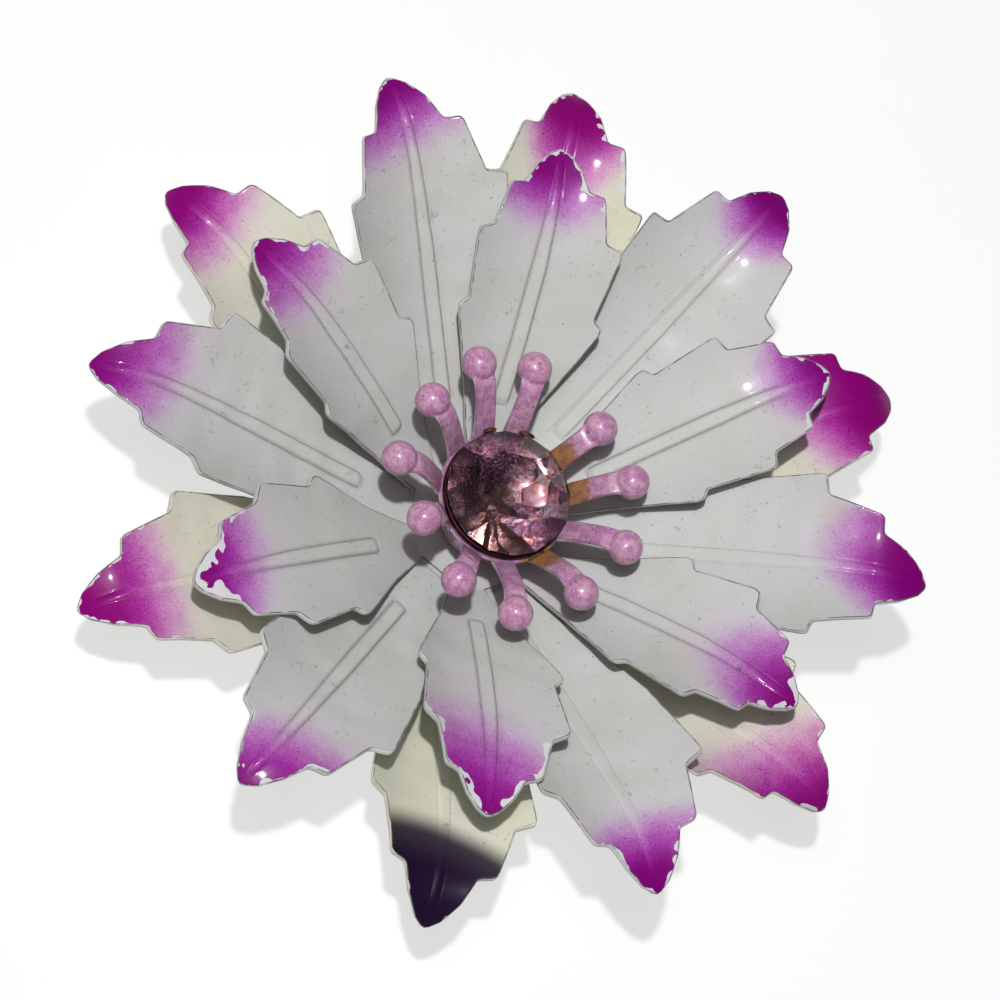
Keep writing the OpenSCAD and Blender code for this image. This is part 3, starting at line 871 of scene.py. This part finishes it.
def add_hub(layer, sizes, sheet, first_rows, upper, rest):
    """The hub between the rivet's hole and the petals' first rows."""
    for side, drop, faces in ((0, 0.0, upper), (1, sizes.sheet, rest)):
        ring = []
        for petal, rows in zip(layer.petals, first_rows):
            count = len(rows[side])
            turns = math.radians(petal.direction) + np.linspace(-HUB_TURN, HUB_TURN, count)
            hole = np.stack(
                [HUB_HOLE * np.cos(turns), HUB_HOLE * np.sin(turns),
                 np.full(count, layer.top - drop)], 1)
            ring.append((sheet.add(hole, HUB_VALUES), rows[side]))
        for (hole, row), (next_hole, next_row) in zip(ring, ring[1:] + ring[:1]):
            strip = np.stack([hole, row], 0)
            bridge = np.array([[hole[-1], next_hole[0]], [row[-1], next_row[0]]])
            for grid in (strip, bridge):
                faces += quads(grid if side == 0 else grid[:, ::-1])


def lathe(profile, segments=96):
    """Points and faces of a profile of (radius, height) turned about the axis."""
    turns = np.arange(segments) * 2 * math.pi / segments
    profile = np.asarray(profile, float)
    points = np.stack(
        [np.outer(profile[:, 0], np.cos(turns)), np.outer(profile[:, 0], np.sin(turns)),
         np.repeat(profile[:, 1:2], segments, 1)], -1).reshape(-1, 3)
    grid = np.arange(len(profile) * segments).reshape(-1, segments)
    closed = np.concatenate([grid, grid[:, :1]], 1)
    return points, quads(closed[:, ::-1])


def join(parts):
    """Several (points, faces) as one."""
    points, faces, total = [], [], 0
    for some, theirs in parts:
        points.append(np.asarray(some, float))
        faces += [[total + k for k in face] for face in theirs]
        total += len(some)
    return np.concatenate(points), faces


# ---------------------------------------------------------------- operators


class BROOCH_OT_petals(bpy.types.Operator):
    """Builds the three layers of petals"""

    bl_idname = "brooch.petals"
    bl_label = "Petal layers"

    def execute(self, context):
        sizes = context.scene.brooch_petals
        enamels = {
            "white_enamel": (
                petal_enamel("White enamel", sizes.white, sizes.white_warm, sizes),
                petal_back("White enamel, back", WHITE_BACK, sizes)),
            "ivory_enamel": (
                petal_enamel("Ivory enamel", sizes.ivory, sizes.ivory_warm, sizes),
                petal_back("Ivory enamel, back", IVORY_BACK, sizes))}
        for layer in LAYERS:
            name = layer.node + "_enamel"
            sheet, upper, rest = petal_sheet(layer, sizes)
            mesh = new_mesh(name, np.concatenate(sheet.points), upper + rest)
            for value, parts in sheet.stored.items():
                keep(mesh, value, np.concatenate(parts))
            mesh.polygons.foreach_set(
                "material_index", np.repeat([0, 1], [len(upper), len(rest)]))
            self.weld(mesh)
            enamel, back = enamels[layer.slot]
            finished(mesh, name, enamel, layer.slot, layer.node)
            mesh.materials.append(back)
        return {"FINISHED"}

    @staticmethod
    def weld(mesh):
        """Joins the points that lie on each other at the tips."""
        work = bmesh.new()
        work.from_mesh(mesh)
        bmesh.ops.remove_doubles(work, verts=work.verts, dist=WELD * MM)
        work.to_mesh(mesh)
        work.free()


def strap_points(stamen, sizes):
    """A flat strap from the bowl's rim to its round end, upright in the plane of +X."""
    reach, top = sizes.ring + stamen.reach, sizes.top + stamen.rise
    start = np.array([BOWL_RIM - sizes.sheet, RIM_HEIGHT - STRAP_DOWN])
    way = np.array([reach - DOME_IN, top + DOME_UP]) - start
    run = np.array(STRAP_RUN)
    part = np.linspace(0, 1, 25)
    knots = np.linspace(0, 1, len(run))
    curve = [np.polynomial.Polynomial.fit(knots, run[:, k], 4)(part) for k in (0, 1)]
    line = start + np.stack(curve, 1) * way
    width = np.interp(part, knots, run[:, 2]) * sizes.strap / 2
    ahead = np.gradient(line, axis=0)
    ahead /= np.linalg.norm(ahead, axis=1)[:, None]
    up = np.stack([-ahead[:, 1], ahead[:, 0]], 1)
    points = [
        (p[0] + u[0] * v * sizes.sheet, w * h, p[1] + u[1] * v * sizes.sheet)
        for p, u, w in zip(line, up, width) for h, v in STRAP_SECTION]
    grid = np.arange(len(points)).reshape(-1, len(STRAP_SECTION))
    faces = quads(np.concatenate([grid, grid[:, :1]], 1))
    return points, faces + [grid[0].tolist(), grid[-1][::-1].tolist()]


def dome_points(stamen, sizes):
    """A hollow round end that leans outwards, open below, upright in the plane of +X."""
    outer, inner = sizes.dome / 2, sizes.dome / 2 - DOME_WALL
    mouth_out, mouth_in = math.acos(-DOME_OPEN / outer), math.acos(-DOME_OPEN / inner)
    profile = [(outer * math.sin(a), outer * math.cos(a)) for a in np.linspace(POLE, mouth_out, 20)]
    profile += [(inner * math.sin(a), inner * math.cos(a)) for a in np.linspace(mouth_in, POLE, 16)]
    points, faces = lathe(profile, DOME_SIDES)
    count = len(points)
    faces += [list(range(DOME_SIDES)), list(range(count - DOME_SIDES, count))[::-1]]
    x, y, z = points.T
    reach, top = sizes.ring + stamen.reach, sizes.top + stamen.rise
    leaned = [
        x * math.cos(DOME_LEAN) + z * math.sin(DOME_LEAN) + reach, y,
        z * math.cos(DOME_LEAN) - x * math.sin(DOME_LEAN) + top]
    return np.stack(leaned, 1), faces


def turned(points, degrees):
    """Points turned about the flower's axis."""
    a = math.radians(degrees)
    x, y, z = np.asarray(points, float).T
    return np.stack([x * math.cos(a) - y * math.sin(a), x * math.sin(a) + y * math.cos(a), z], 1)


def melted(points, faces, size):
    """Closed forms melted into one skin with faces of a given size, in millimetres."""
    mesh = bpy.data.meshes.new("melting")
    mesh.from_pydata(np.asarray(points).tolist(), [], faces)
    holder = bpy.data.objects.new("melting", mesh)
    bpy.context.scene.collection.objects.link(holder)
    remesh = holder.modifiers.new("Skin", "REMESH")
    remesh.mode = "VOXEL"
    remesh.voxel_size = size
    soften = holder.modifiers.new("Soften", "SMOOTH")
    soften.factor, soften.iterations = 0.5, 4
    depsgraph = bpy.context.evaluated_depsgraph_get()
    made = bpy.data.meshes.new_from_object(holder.evaluated_get(depsgraph))
    bpy.data.objects.remove(holder)
    bpy.data.meshes.remove(mesh)
    if not made.vertices:
        raise RuntimeError("nothing was left of the melted skin")
    made.transform(Matrix.Scale(MM, 4))
    return made


def stamen_enamel(sizes, petals):
    """Mottled lilac enamel, duller on the straps, worn at its edges and stained at the roots."""
    material, tree, shader, place = new_material("Lilac enamel")
    dust = tree.effect("Dust and patches", {"Place": place, "Speck size": 0.13})
    wear = tree.effect(
        "Worn edge", {"Edge": tree.value("edge"), "Chip": tree.value("chip"), "Place": place})
    fine = tree.in_mm(place)
    mottle = tree.noise(fine, 1.4, 3, 0.65)
    skin = tree.mix(tree.span(mottle, 0.38, 0.66), sizes.lilac, sizes.pink)
    crumbs = tree.span(tree.noise(fine, 5.5, 1, 0.5), 0.52, 0.75, 0.0, 0.5)
    skin = tree.mix(crumbs, skin, (0.72, 0.50, 0.64))
    skin = tree.mix(tree.math("MULTIPLY", wear.outputs["Lip"], 0.12), skin, (0.75, 0.62, 0.72))
    skin = tree.mix(tree.math("MULTIPLY", wear.outputs["Line"], 0.5), skin, (0.15, 0.075, 0.12))
    skin = tree.mix(wear.outputs["Bare"], skin, petals.chip)
    ragged = tree.math("MULTIPLY_ADD", tree.noise(fine, 1.8, 3, 0.6), 0.9, tree.value("stain"))
    stained = tree.span(ragged, 0.85, 1.15)
    skin = tree.mix(tree.value("strap"), skin, (0.8, 0.81, 0.83), "MULTIPLY")
    rust = tree.mix(tree.span(mottle, 0.4, 0.6), sizes.stain, (0.17, 0.075, 0.03))
    skin = tree.mix(tree.math("MULTIPLY", stained, 0.9), skin, rust)
    skin = tree.mix(tree.math("MULTIPLY", dust.outputs["Specks"], 0.7), skin, (0.12, 0.06, 0.12))
    height = tree.math("MULTIPLY_ADD", mottle, 1.5, dust.outputs["Grain"])
    tree.fill(shader, {
        "Base Color": skin,
        "Roughness": tree.span(mottle, 0.3, 0.7, 0.3, 0.44),
        "Coat Weight": 0.4,
        "Coat Roughness": 0.09,
        "Specular IOR Level": 0.3,
        "Normal": tree.relief(height, 0.4, 0.05)})
    return material


class BROOCH_OT_stamens(bpy.types.Operator):
    """Builds the star of stamens and the bowl from which they rise"""

    bl_idname = "brooch.stamens"
    bl_label = "Stamens"

    def execute(self, context):
        sizes = context.scene.brooch_stamens
        parts = []
        for stamen in STAMENS:
            for points, faces in (strap_points(stamen, sizes), dome_points(stamen, sizes)):
                parts.append((turned(points, stamen.direction), faces))
        skin = melted(*join(parts), sizes.grain)
        mesh = merged("stamens_enamel", skin, self.bowl(sizes.sheet))
        self.store(mesh, sizes)
        material = stamen_enamel(sizes, context.scene.brooch_petals)
        finished(mesh, "stamens_enamel", material, "lilac_enamel", "stamens")
        return {"FINISHED"}

    @staticmethod
    def bowl(sheet):
        """The bowl, a thin pressed cone with a flat foot."""
        outer = [
            (BOWL_FOOT + t * (BOWL_RIM - BOWL_FOOT), FOOT_HEIGHT + t * (RIM_HEIGHT - FOOT_HEIGHT))
            for t in np.linspace(0.02, 1, 24)]
        profile = [(HUB_HOLE, FOOT_HEIGHT), (BOWL_FOOT - 0.2, FOOT_HEIGHT)] + outer
        profile += [(BOWL_RIM - 0.08, RIM_HEIGHT + 0.05)]
        profile += [(BOWL_RIM - sheet + 0.05, RIM_HEIGHT + 0.03)]
        profile += [(r - sheet, h + sheet * 0.35) for r, h in outer[::-1][1:]]
        profile += [(BOWL_FOOT - sheet, FOOT_HEIGHT + sheet)]
        profile += [(HUB_HOLE, FOOT_HEIGHT + sheet), (HUB_HOLE, FOOT_HEIGHT)]
        return new_mesh("bowl", *lathe(profile))

    @staticmethod
    def store(mesh, sizes):
        """Stores the stains, the distance to the nearest edge, the straps and the chips."""
        points = np.empty(len(mesh.vertices) * 3, dtype=np.float32)
        mesh.vertices.foreach_get("co", points)
        points = points.reshape(-1, 3) / MM
        height = points[:, 2]
        turn = np.degrees(np.arctan2(points[:, 1], points[:, 0]))
        radius = np.hypot(points[:, 0], points[:, 1])
        directions = np.array([s.direction for s in STAMENS])
        off = (turn[:, None] - directions + 180) % 360 - 180
        nearest = np.abs(off).argmin(1)
        off = np.radians(off[np.arange(len(off)), nearest])
        _, reach, rise, stain = np.array(STAMENS)[nearest].T
        side = np.abs(radius * np.sin(off))
        # The stain is darkest where a strap leaves the bowl
        root = np.hypot((radius - 6.1) / 1.1, (height - 15.0) / 1.3)
        keep(mesh, "stain", stain * np.clip(1.25 - root / 2.4, 0, 1))
        x = radius * np.cos(off) - (sizes.ring + reach)
        z = height - (sizes.top + rise)
        along = z * math.cos(DOME_LEAN) + x * math.sin(DOME_LEAN)
        past = np.sqrt(x ** 2 + side ** 2 + z ** 2) - sizes.dome / 2
        at_dome = past < 0.1
        edge = np.where(at_dome, np.clip(along + 0.9, 0, 3), np.clip(sizes.strap / 2 - side, 0, 3))
        in_bowl = (radius < BOWL_RIM + 0.05) & (height < RIM_HEIGHT + 0.06)
        edge = np.where(in_bowl, np.clip(RIM_HEIGHT + 0.13 - height, 0.08, 3), edge)
        keep(mesh, "edge", edge)
        keep(mesh, "strap", np.clip((past - 0.1) / 0.9, 0, 1))
        bites = 0.5 + 0.5 * np.sin(turn * 1.7 + side * 4) * np.sin(points[:, 0] * 2.3)
        keep(mesh, "chip", np.where(at_dome, 0.3 * bites, 0.04))


def stone_points(sizes, grow=0.0):
    """Corners of the stone: a table, a shoulder, a girdle, and two rows of facets to the culet."""
    radius, girdle = sizes.diameter / 2 + grow, sizes.girdle
    middle = (GIRDLE_EDGE + sizes.pavilion) / 2
    # Radius as a part of the stone's, height over the girdle, corners, turn in parts of a corner
    rings = (
        (sizes.table, sizes.crown, 8, 0.288), (0.816, sizes.crown * 0.375, 8, 0.788),
        (1, 0, 16, 0), (1, -GIRDLE_EDGE, 16, 0), (0.535, -middle, 8, 0.58))
    points = []
    for share, height, count, offset in rings:
        for k in range(count):
            a = 2 * math.pi * (k + offset) / count
            reach = radius * share
            points.append((reach * math.cos(a), reach * math.sin(a), girdle + height))
    points.append((0, 0, girdle - sizes.pavilion - grow))
    return points


def hull_mesh(name, points):
    """The convex hull of some points in millimetres, with flat facets."""
    work = bmesh.new()
    for point in points:
        work.verts.new(Vector(point) * MM)
    bmesh.ops.convex_hull(work, input=work.verts)
    bmesh.ops.dissolve_limit(
        work, angle_limit=SAME_FACET, verts=work.verts, edges=work.edges)
    return written(work, name)


class BROOCH_OT_stone(bpy.types.Operator):
    """Builds the cut stone and the foil behind it"""

    bl_idname = "brooch.stone"
    bl_label = "Stone"

    def execute(self, context):
        sizes = context.scene.brooch_stone
        mesh = hull_mesh("stone_cut", stone_points(sizes))
        stone = finished(mesh, "stone_cut", self.glass(sizes), "stone_glass", "stone")
        stone.data.shade_flat()
        mesh = hull_mesh("stone_foil", stone_points(sizes, -FOIL_GAP))
        self.open_above(mesh, (sizes.girdle - FOIL_TOP) * MM)
        foil = finished(mesh, "stone_foil", self.foil(sizes), "stone_glass")
        foil.data.shade_flat()
        return {"FINISHED"}

    @staticmethod
    def open_above(mesh, height):
        """Keeps only what lies below a height."""
        work = bmesh.new()
        work.from_mesh(mesh)
        above = [f for f in work.faces if f.calc_center_median().z > height]
        bmesh.ops.delete(work, geom=above, context="FACES")
        work.to_mesh(mesh)
        work.free()

    @staticmethod
    def glass(sizes):
        """Tinted glass with faint scratches."""
        material, tree, shader, place = new_material("Stone glass")
        fine = tree.in_mm(place)
        haze = tree.noise(fine, 1.1, 3, 0.6)
        deeper = tuple(0.9 * c for c in sizes.glass)
        tree.fill(shader, {
            "Base Color": tree.mix(tree.span(haze, 0.35, 0.7), sizes.glass, deeper),
            "Roughness": tree.span(haze, 0.45, 0.8, 0.0, 0.05),
            "Transmission Weight": 1.0,
            "IOR": 1.54})
        return material

    @staticmethod
    def foil(sizes):
        """Mirror foil, painted dark on one side as a painted dark reflection, and coppery on the
        other.
        """
        material, tree, shader, place = new_material("Stone foil")
        fine = tree.in_mm(place)
        axes = tree.add("SeparateXYZ", {0: fine})
        # Painted reflection: the foil is painted dark towards one side, as if it mirrored dark
        # surroundings there, with pink flakes in the dark
        side = tree.math("MULTIPLY_ADD", axes.outputs[0], -0.9, axes.outputs[1])
        torn = tree.math("MULTIPLY_ADD", tree.noise(fine, 0.9, 4, 0.7), 5.0, side)
        dark = tree.span(torn, 2.6, 4.8)
        copper = tree.span(tree.noise(fine, 0.8, 4, 0.7), 0.42, 0.6)
        skin = tree.mix(copper, sizes.foil, (0.86, 0.52, 0.42))
        flakes = tree.span(tree.noise(fine, 4.5, 4, 0.75), 0.5, 0.62)
        painted_dark_side = tree.mix(flakes, sizes.foil_painted_dark, (0.44, 0.29, 0.41))
        uneven = tree.span(torn, 2.2, 4.4, 0.03, 1)
        crinkle = tree.math("MULTIPLY", tree.noise(fine, 3.4, 4, 0.75), uneven)
        tree.fill(shader, {
            "Base Color": tree.mix(dark, skin, painted_dark_side),
            "Metallic": 1.0,
            "Roughness": tree.span(torn, 2.4, 4.4, 0.02, 0.24),
            "Normal": tree.relief(crinkle, 0.7, 0.04)})
        return material


class BROOCH_OT_cup(bpy.types.Operator):
    """Builds the cup that holds the stone"""

    bl_idname = "brooch.cup"
    bl_label = "Cup"

    def execute(self, context):
        sizes = context.scene.brooch_stone
        rim = sizes.cup_rim
        lip = ((5.68, rim - 0.05), (5.58, rim), (5.38, rim - 0.03), (5.25, rim - 0.16))
        points, faces = lathe(CUP_OUTSIDE + lip + CUP_INSIDE, 128)
        # The cup's near-black colour is painted shade, for the shade in the gap under the stone's
        # girdle
        material = dull_metal("Darkened metal", sizes.cup, (0.07, 0.018, 0.02), 0.4, 0.4)
        mesh = new_mesh("stone_cup_pressed", points, faces)
        finished(mesh, "stone_cup_pressed", material, "dark_metal", "stone_cup")
        return {"FINISHED"}


def dull_metal(name, bare, tarnished, amount, rough):
    """Metal with tarnish and fine scratches."""
    material, tree, shader, place = new_material(name)
    worn = tree.effect("Tarnished metal", {"Place": place, "Amount": amount})
    rougher = tree.math("MULTIPLY_ADD", worn.outputs["Tarnish"], 0.25, rough - 0.08)
    tree.fill(shader, {
        "Base Color": tree.mix(worn.outputs["Tarnish"], bare, tarnished),
        "Roughness": tree.math("MULTIPLY_ADD", worn.outputs["Scratches"], 0.16, rougher),
        "Metallic": 0.9,
        "Normal": tree.relief(worn.outputs["Scratches"], 0.2, 0.03)})
    return material


class BROOCH_OT_glue(bpy.types.Operator):
    """Builds the beads of old glue round the cup"""

    bl_idname = "brooch.glue"
    bl_label = "Glue"

    def execute(self, context):
        colours = context.scene.brooch_stamens
        parts = []
        for number, (turn, radius, height, length, width, tall) in enumerate(GLUE_BEADS):
            work = bmesh.new()
            bmesh.ops.create_icosphere(work, subdivisions=4, radius=1)
            lumps = np.random.default_rng(GLUE_SEED + number).uniform(0, 6, 3)
            points = []
            for vert in work.verts:
                x, y, z = vert.co
                swell = 1 + 0.12 * math.sin(3 * x + lumps[0]) * math.sin(4 * y + lumps[1])
                swell += 0.08 * math.sin(6 * z + lumps[2] + 5 * x)
                x, y, z = x * length * swell, y * width * swell, z * tall * swell
                points.append((x + radius, y, z + height))
            faces = [[v.index for v in f.verts] for f in work.faces]
            work.free()
            parts.append((turned(points, turn), faces))
        mesh = new_mesh("glue_beads", *join(parts))
        finished(mesh, "glue_beads", self.resin(colours), "lilac_enamel")
        return {"FINISHED"}

    @staticmethod
    def resin(colours):
        """Aged brown glue with rust in it."""
        material, tree, shader, place = new_material("Old glue")
        fine = tree.in_mm(place)
        clouds = tree.noise(fine, 1.6, 4, 0.65)
        rust = tree.span(clouds, 0.35, 0.65)
        tree.fill(shader, {
            "Base Color": tree.mix(rust, colours.glue, (0.09, 0.04, 0.018)),
            "Roughness": tree.span(clouds, 0.3, 0.7, 0.4, 0.6),
            "Specular IOR Level": 0.25,
            "Normal": tree.relief(clouds, 0.5, 0.1)})
        return material


def bevelled(name, solids, width):
    """Closed solids in one mesh, with their sharp edges rounded off."""
    points, faces = join(solids)
    work = bmesh.new()
    verts = [work.verts.new(Vector(p) * MM) for p in points]
    for face in faces:
        work.faces.new([verts[k] for k in face])
    bmesh.ops.recalc_face_normals(work, faces=work.faces)
    sharp = [e for e in work.edges if e.is_manifold and e.calc_face_angle() > BEVEL_FROM]
    bmesh.ops.bevel(
        work, geom=sharp, offset=width * MM, segments=3, profile=0.5, affect="EDGES",
        clamp_overlap=True)
    return written(work, name)


def pushed(outline, start, length, axis):
    """An outline pushed along an axis into a closed solid. The outline lies in the other two."""
    count = len(outline)
    points = []
    for at in (start, start + length):
        for a, b in outline:
            points.append({"x": (at, a, b), "y": (a, at, b), "z": (a, b, at)}[axis])
    faces = [[k, (k + 1) % count, (k + 1) % count + count, k + count] for k in range(count)]
    return points, faces + [list(range(count))[::-1], list(range(count, 2 * count))]


def arc(centre, radius, start, end, steps):
    """Points of an arc, in degrees."""
    x, y = centre
    return [
        (x + radius * math.cos(a), y + radius * math.sin(a))
        for a in np.radians(np.linspace(start, end, steps))]


class BROOCH_OT_pin_back(bpy.types.Operator):
    """Builds the closed pin and the rivet"""

    bl_idname = "brooch.pin_back"
    bl_label = "Pin back and rivet"

    def execute(self, context):
        sizes = context.scene.brooch_pin
        brass = dull_metal("Worn brass", sizes.brass, sizes.tarnish, 0.4, 0.3)
        low = sizes.underside - SINK - sizes.thickness
        half, side = sizes.length / 2, sizes.width / 2
        bar = pushed(
            [(-half, -side), (half, -side), (half, side), (-half, side)], low,
            sizes.thickness, "z")
        block_x = half - BLOCK_INSET
        left, right = -block_x - BLOCK_LENGTH / 2, -block_x + BLOCK_LENGTH / 2
        hinge_outline = arc((left + 1, 1), 1, 180, 270, 7) + [
            (right, 0), (right, low + OVERLAP), (left, low + OVERLAP)]
        hinge = pushed(hinge_outline, -side, sizes.width, "y")
        open_at = math.degrees(math.asin(CATCH_SLOT / CATCH_BORE))
        edge, middle = CATCH_WIDTH / 2, sizes.stem_height
        catch_outline = [(-edge, 0), (edge, 0), (edge, middle - CATCH_SLOT)]
        catch_outline += arc((0, middle), CATCH_BORE, -open_at, -360 + open_at, 24)
        catch_outline += [
            (edge, middle + CATCH_SLOT), (edge, low + OVERLAP), (-edge, low + OVERLAP)]
        catch = pushed(catch_outline, block_x - CATCH_LENGTH / 2, CATCH_LENGTH, "x")
        plates = bevelled("pin_plates", [bar, hinge, catch], BEVEL)
        mesh = merged("pin_back_brass", plates, self.stem(sizes, block_x))
        pin = finished(mesh, "pin_back_brass", brass, "pin_metal", "pin_back")
        pin.data.set_sharp_from_angle(angle=SHARP)
        mesh = new_mesh("rivet_brass", *lathe(self.rivet_profile(sizes), 64))
        rivet = finished(mesh, "rivet_brass", brass, "pin_metal", "rivet")
        rivet.data.set_sharp_from_angle(angle=SHARP)
        return {"FINISHED"}

    @staticmethod
    def stem(sizes, block_x):
        """The stem, from the hinge block through the catch to a ground point."""
        radius = sizes.stem / 2
        end = block_x + CATCH_LENGTH / 2
        profile = [(0.01, -block_x), (radius, -block_x), (radius, end)]
        profile += [
            (max(0.02, radius * (1 - t ** 1.6)), end + POINT * t) for t in np.linspace(0.1, 1, 9)]
        points, faces = lathe(profile, 24)
        lying = np.stack([points[:, 2], points[:, 1], sizes.stem_height - points[:, 0]], 1)
        return new_mesh("stem", lying, faces)

    @staticmethod
    def rivet_profile(sizes):
        """Half the rivet's section: domed heads and a plain shank."""
        low = sizes.underside - sizes.thickness - 2 * SINK
        domed = [
            (RIVET_HEAD * math.sin(a), RIVET_DOME * math.cos(a))
            for a in np.linspace(POLE, math.pi / 2, 9)]
        profile = [(r, low - h) for r, h in domed]
        profile += [(RIVET_SHANK, low), (RIVET_SHANK, RIVET_TOP)]
        return profile + [(r, RIVET_TOP + h) for r, h in domed[::-1]]


class BROOCH_OT_stage(bpy.types.Operator):
    """Builds the floor, the light and the camera"""

    bl_idname = "brooch.stage"
    bl_label = "Stage"

    def execute(self, context):
        sizes = context.scene.brooch_stage
        self.floor(sizes)
        self.light(context, sizes)
        self.camera(context, sizes)
        return {"FINISHED"}

    @staticmethod
    def floor(sizes):
        """A plain pale floor."""
        mesh = bpy.data.meshes.new("floor")
        half = FLOOR_HALF
        points = [(-half, -half, 0), (half, -half, 0), (half, half, 0), (-half, half, 0)]
        mesh.from_pydata(points, [], [(0, 1, 2, 3)])
        material, tree, shader, place = new_material("Pale floor")
        grain = tree.noise(place, 60, 1)
        shade = tree.mix(grain, sizes.floor, tuple(0.985 * c for c in sizes.floor))
        tree.fill(shader, {
            "Base Color": shade, "Roughness": 0.8, "Emission Color": shade,
            "Emission Strength": sizes.glow})
        mesh.materials.append(material)
        floor = bpy.data.objects.new("floor", mesh)
        bpy.context.scene.collection.objects.link(floor)

    @staticmethod
    def light(context, sizes):
        """A key light from above, a soft box behind it, and an even fill."""
        towards = Vector(LIGHT_FROM)
        key = bpy.data.lights.new("key", "AREA")
        key.shape, key.size, key.energy = "DISK", sizes.key_size, sizes.key
        box = bpy.data.lights.new("soft_box", "AREA")
        box.shape, box.size, box.energy = "DISK", sizes.box_size, sizes.box
        for light, distance in ((key, KEY_DISTANCE), (box, BOX_DISTANCE)):
            lamp = bpy.data.objects.new(light.name, light)
            lamp.location = towards * distance
            lamp.rotation_euler = towards.to_track_quat("Z", "Y").to_euler()
            context.scene.collection.objects.link(lamp)
        world = bpy.data.worlds.new("Studio")
        world.use_nodes = True
        back = world.node_tree.nodes["Background"]
        back.inputs["Color"].default_value = (1, 1, 1, 1)
        back.inputs["Strength"].default_value = sizes.sky
        context.scene.world = world
        context.scene.view_settings.view_transform = "Standard"

    @staticmethod
    def camera(context, sizes):
        """The camera, at the photograph's angle to the flower."""
        tilt, turn = sizes.tilt, sizes.turn
        towards = Vector((
            math.sin(tilt) * math.cos(turn), math.sin(tilt) * math.sin(turn), math.cos(tilt)))
        turned_frame = Matrix.Rotation(tilt, 3, Vector((-math.sin(turn), math.cos(turn), 0)))
        right, up = turned_frame @ Vector((1, 0, 0)), turned_frame @ Vector((0, 1, 0))
        data = bpy.data.cameras.new("camera")
        data.lens, data.sensor_width = sizes.lens, 36
        data.clip_start, data.clip_end = 0.01, 20
        camera = bpy.data.objects.new("camera", data)
        aim = Vector((0, 0, CAMERA_AIM * MM))
        place = aim + towards * sizes.distance + (right + up) * sizes.shift
        camera.matrix_world = Matrix.Translation(place) @ Matrix(
            (right, up, towards)).transposed().to_4x4()
        context.scene.collection.objects.link(camera)
        context.scene.camera = camera


class BROOCH_PT_panel(bpy.types.Panel):
    """Lists the brooch's pieces and their settings"""

    bl_idname = "BROOCH_PT_panel"
    bl_label = "Flower brooch"
    bl_space_type = "VIEW_3D"
    bl_region_type = "UI"
    bl_category = "Brooch"

    def draw(self, context):
        layout = self.layout
        for name, operators in PARTS:
            box = layout.box()
            for operator in operators:
                box.operator(operator.bl_idname)
            settings = getattr(context.scene, name)
            for key in settings.bl_rna.properties.keys():
                if key not in {"rna_type", "name"}:
                    box.prop(settings, key)


PARTS = (
    ("brooch_petals", (BROOCH_OT_petals,)),
    ("brooch_stamens", (BROOCH_OT_stamens, BROOCH_OT_glue)),
    ("brooch_stone", (BROOCH_OT_cup, BROOCH_OT_stone)),
    ("brooch_pin", (BROOCH_OT_pin_back,)),
    ("brooch_stage", (BROOCH_OT_stage,)))
SETTINGS = {
    "brooch_petals": PetalSettings, "brooch_stamens": StamenSettings,
    "brooch_stone": StoneSettings, "brooch_pin": PinSettings, "brooch_stage": StageSettings}
OPERATORS = [operator for _, operators in PARTS for operator in operators]


def register():
    for settings in SETTINGS.values():
        bpy.utils.register_class(settings)
    for operator in OPERATORS:
        bpy.utils.register_class(operator)
    bpy.utils.register_class(BROOCH_PT_panel)
    for name, settings in SETTINGS.items():
        setattr(bpy.types.Scene, name, PointerProperty(type=settings))


def unregister():
    for name in SETTINGS:
        delattr(bpy.types.Scene, name)
    bpy.utils.unregister_class(BROOCH_PT_panel)
    for operator in reversed(OPERATORS):
        bpy.utils.unregister_class(operator)
    for settings in reversed(SETTINGS.values()):
        bpy.utils.unregister_class(settings)


def main():
    """Builds the whole scene."""
    register()
    for operator in OPERATORS:
        group, name = operator.bl_idname.split(".")
        getattr(getattr(bpy.ops, group), name)()


if __name__ == "__main__":
    main()
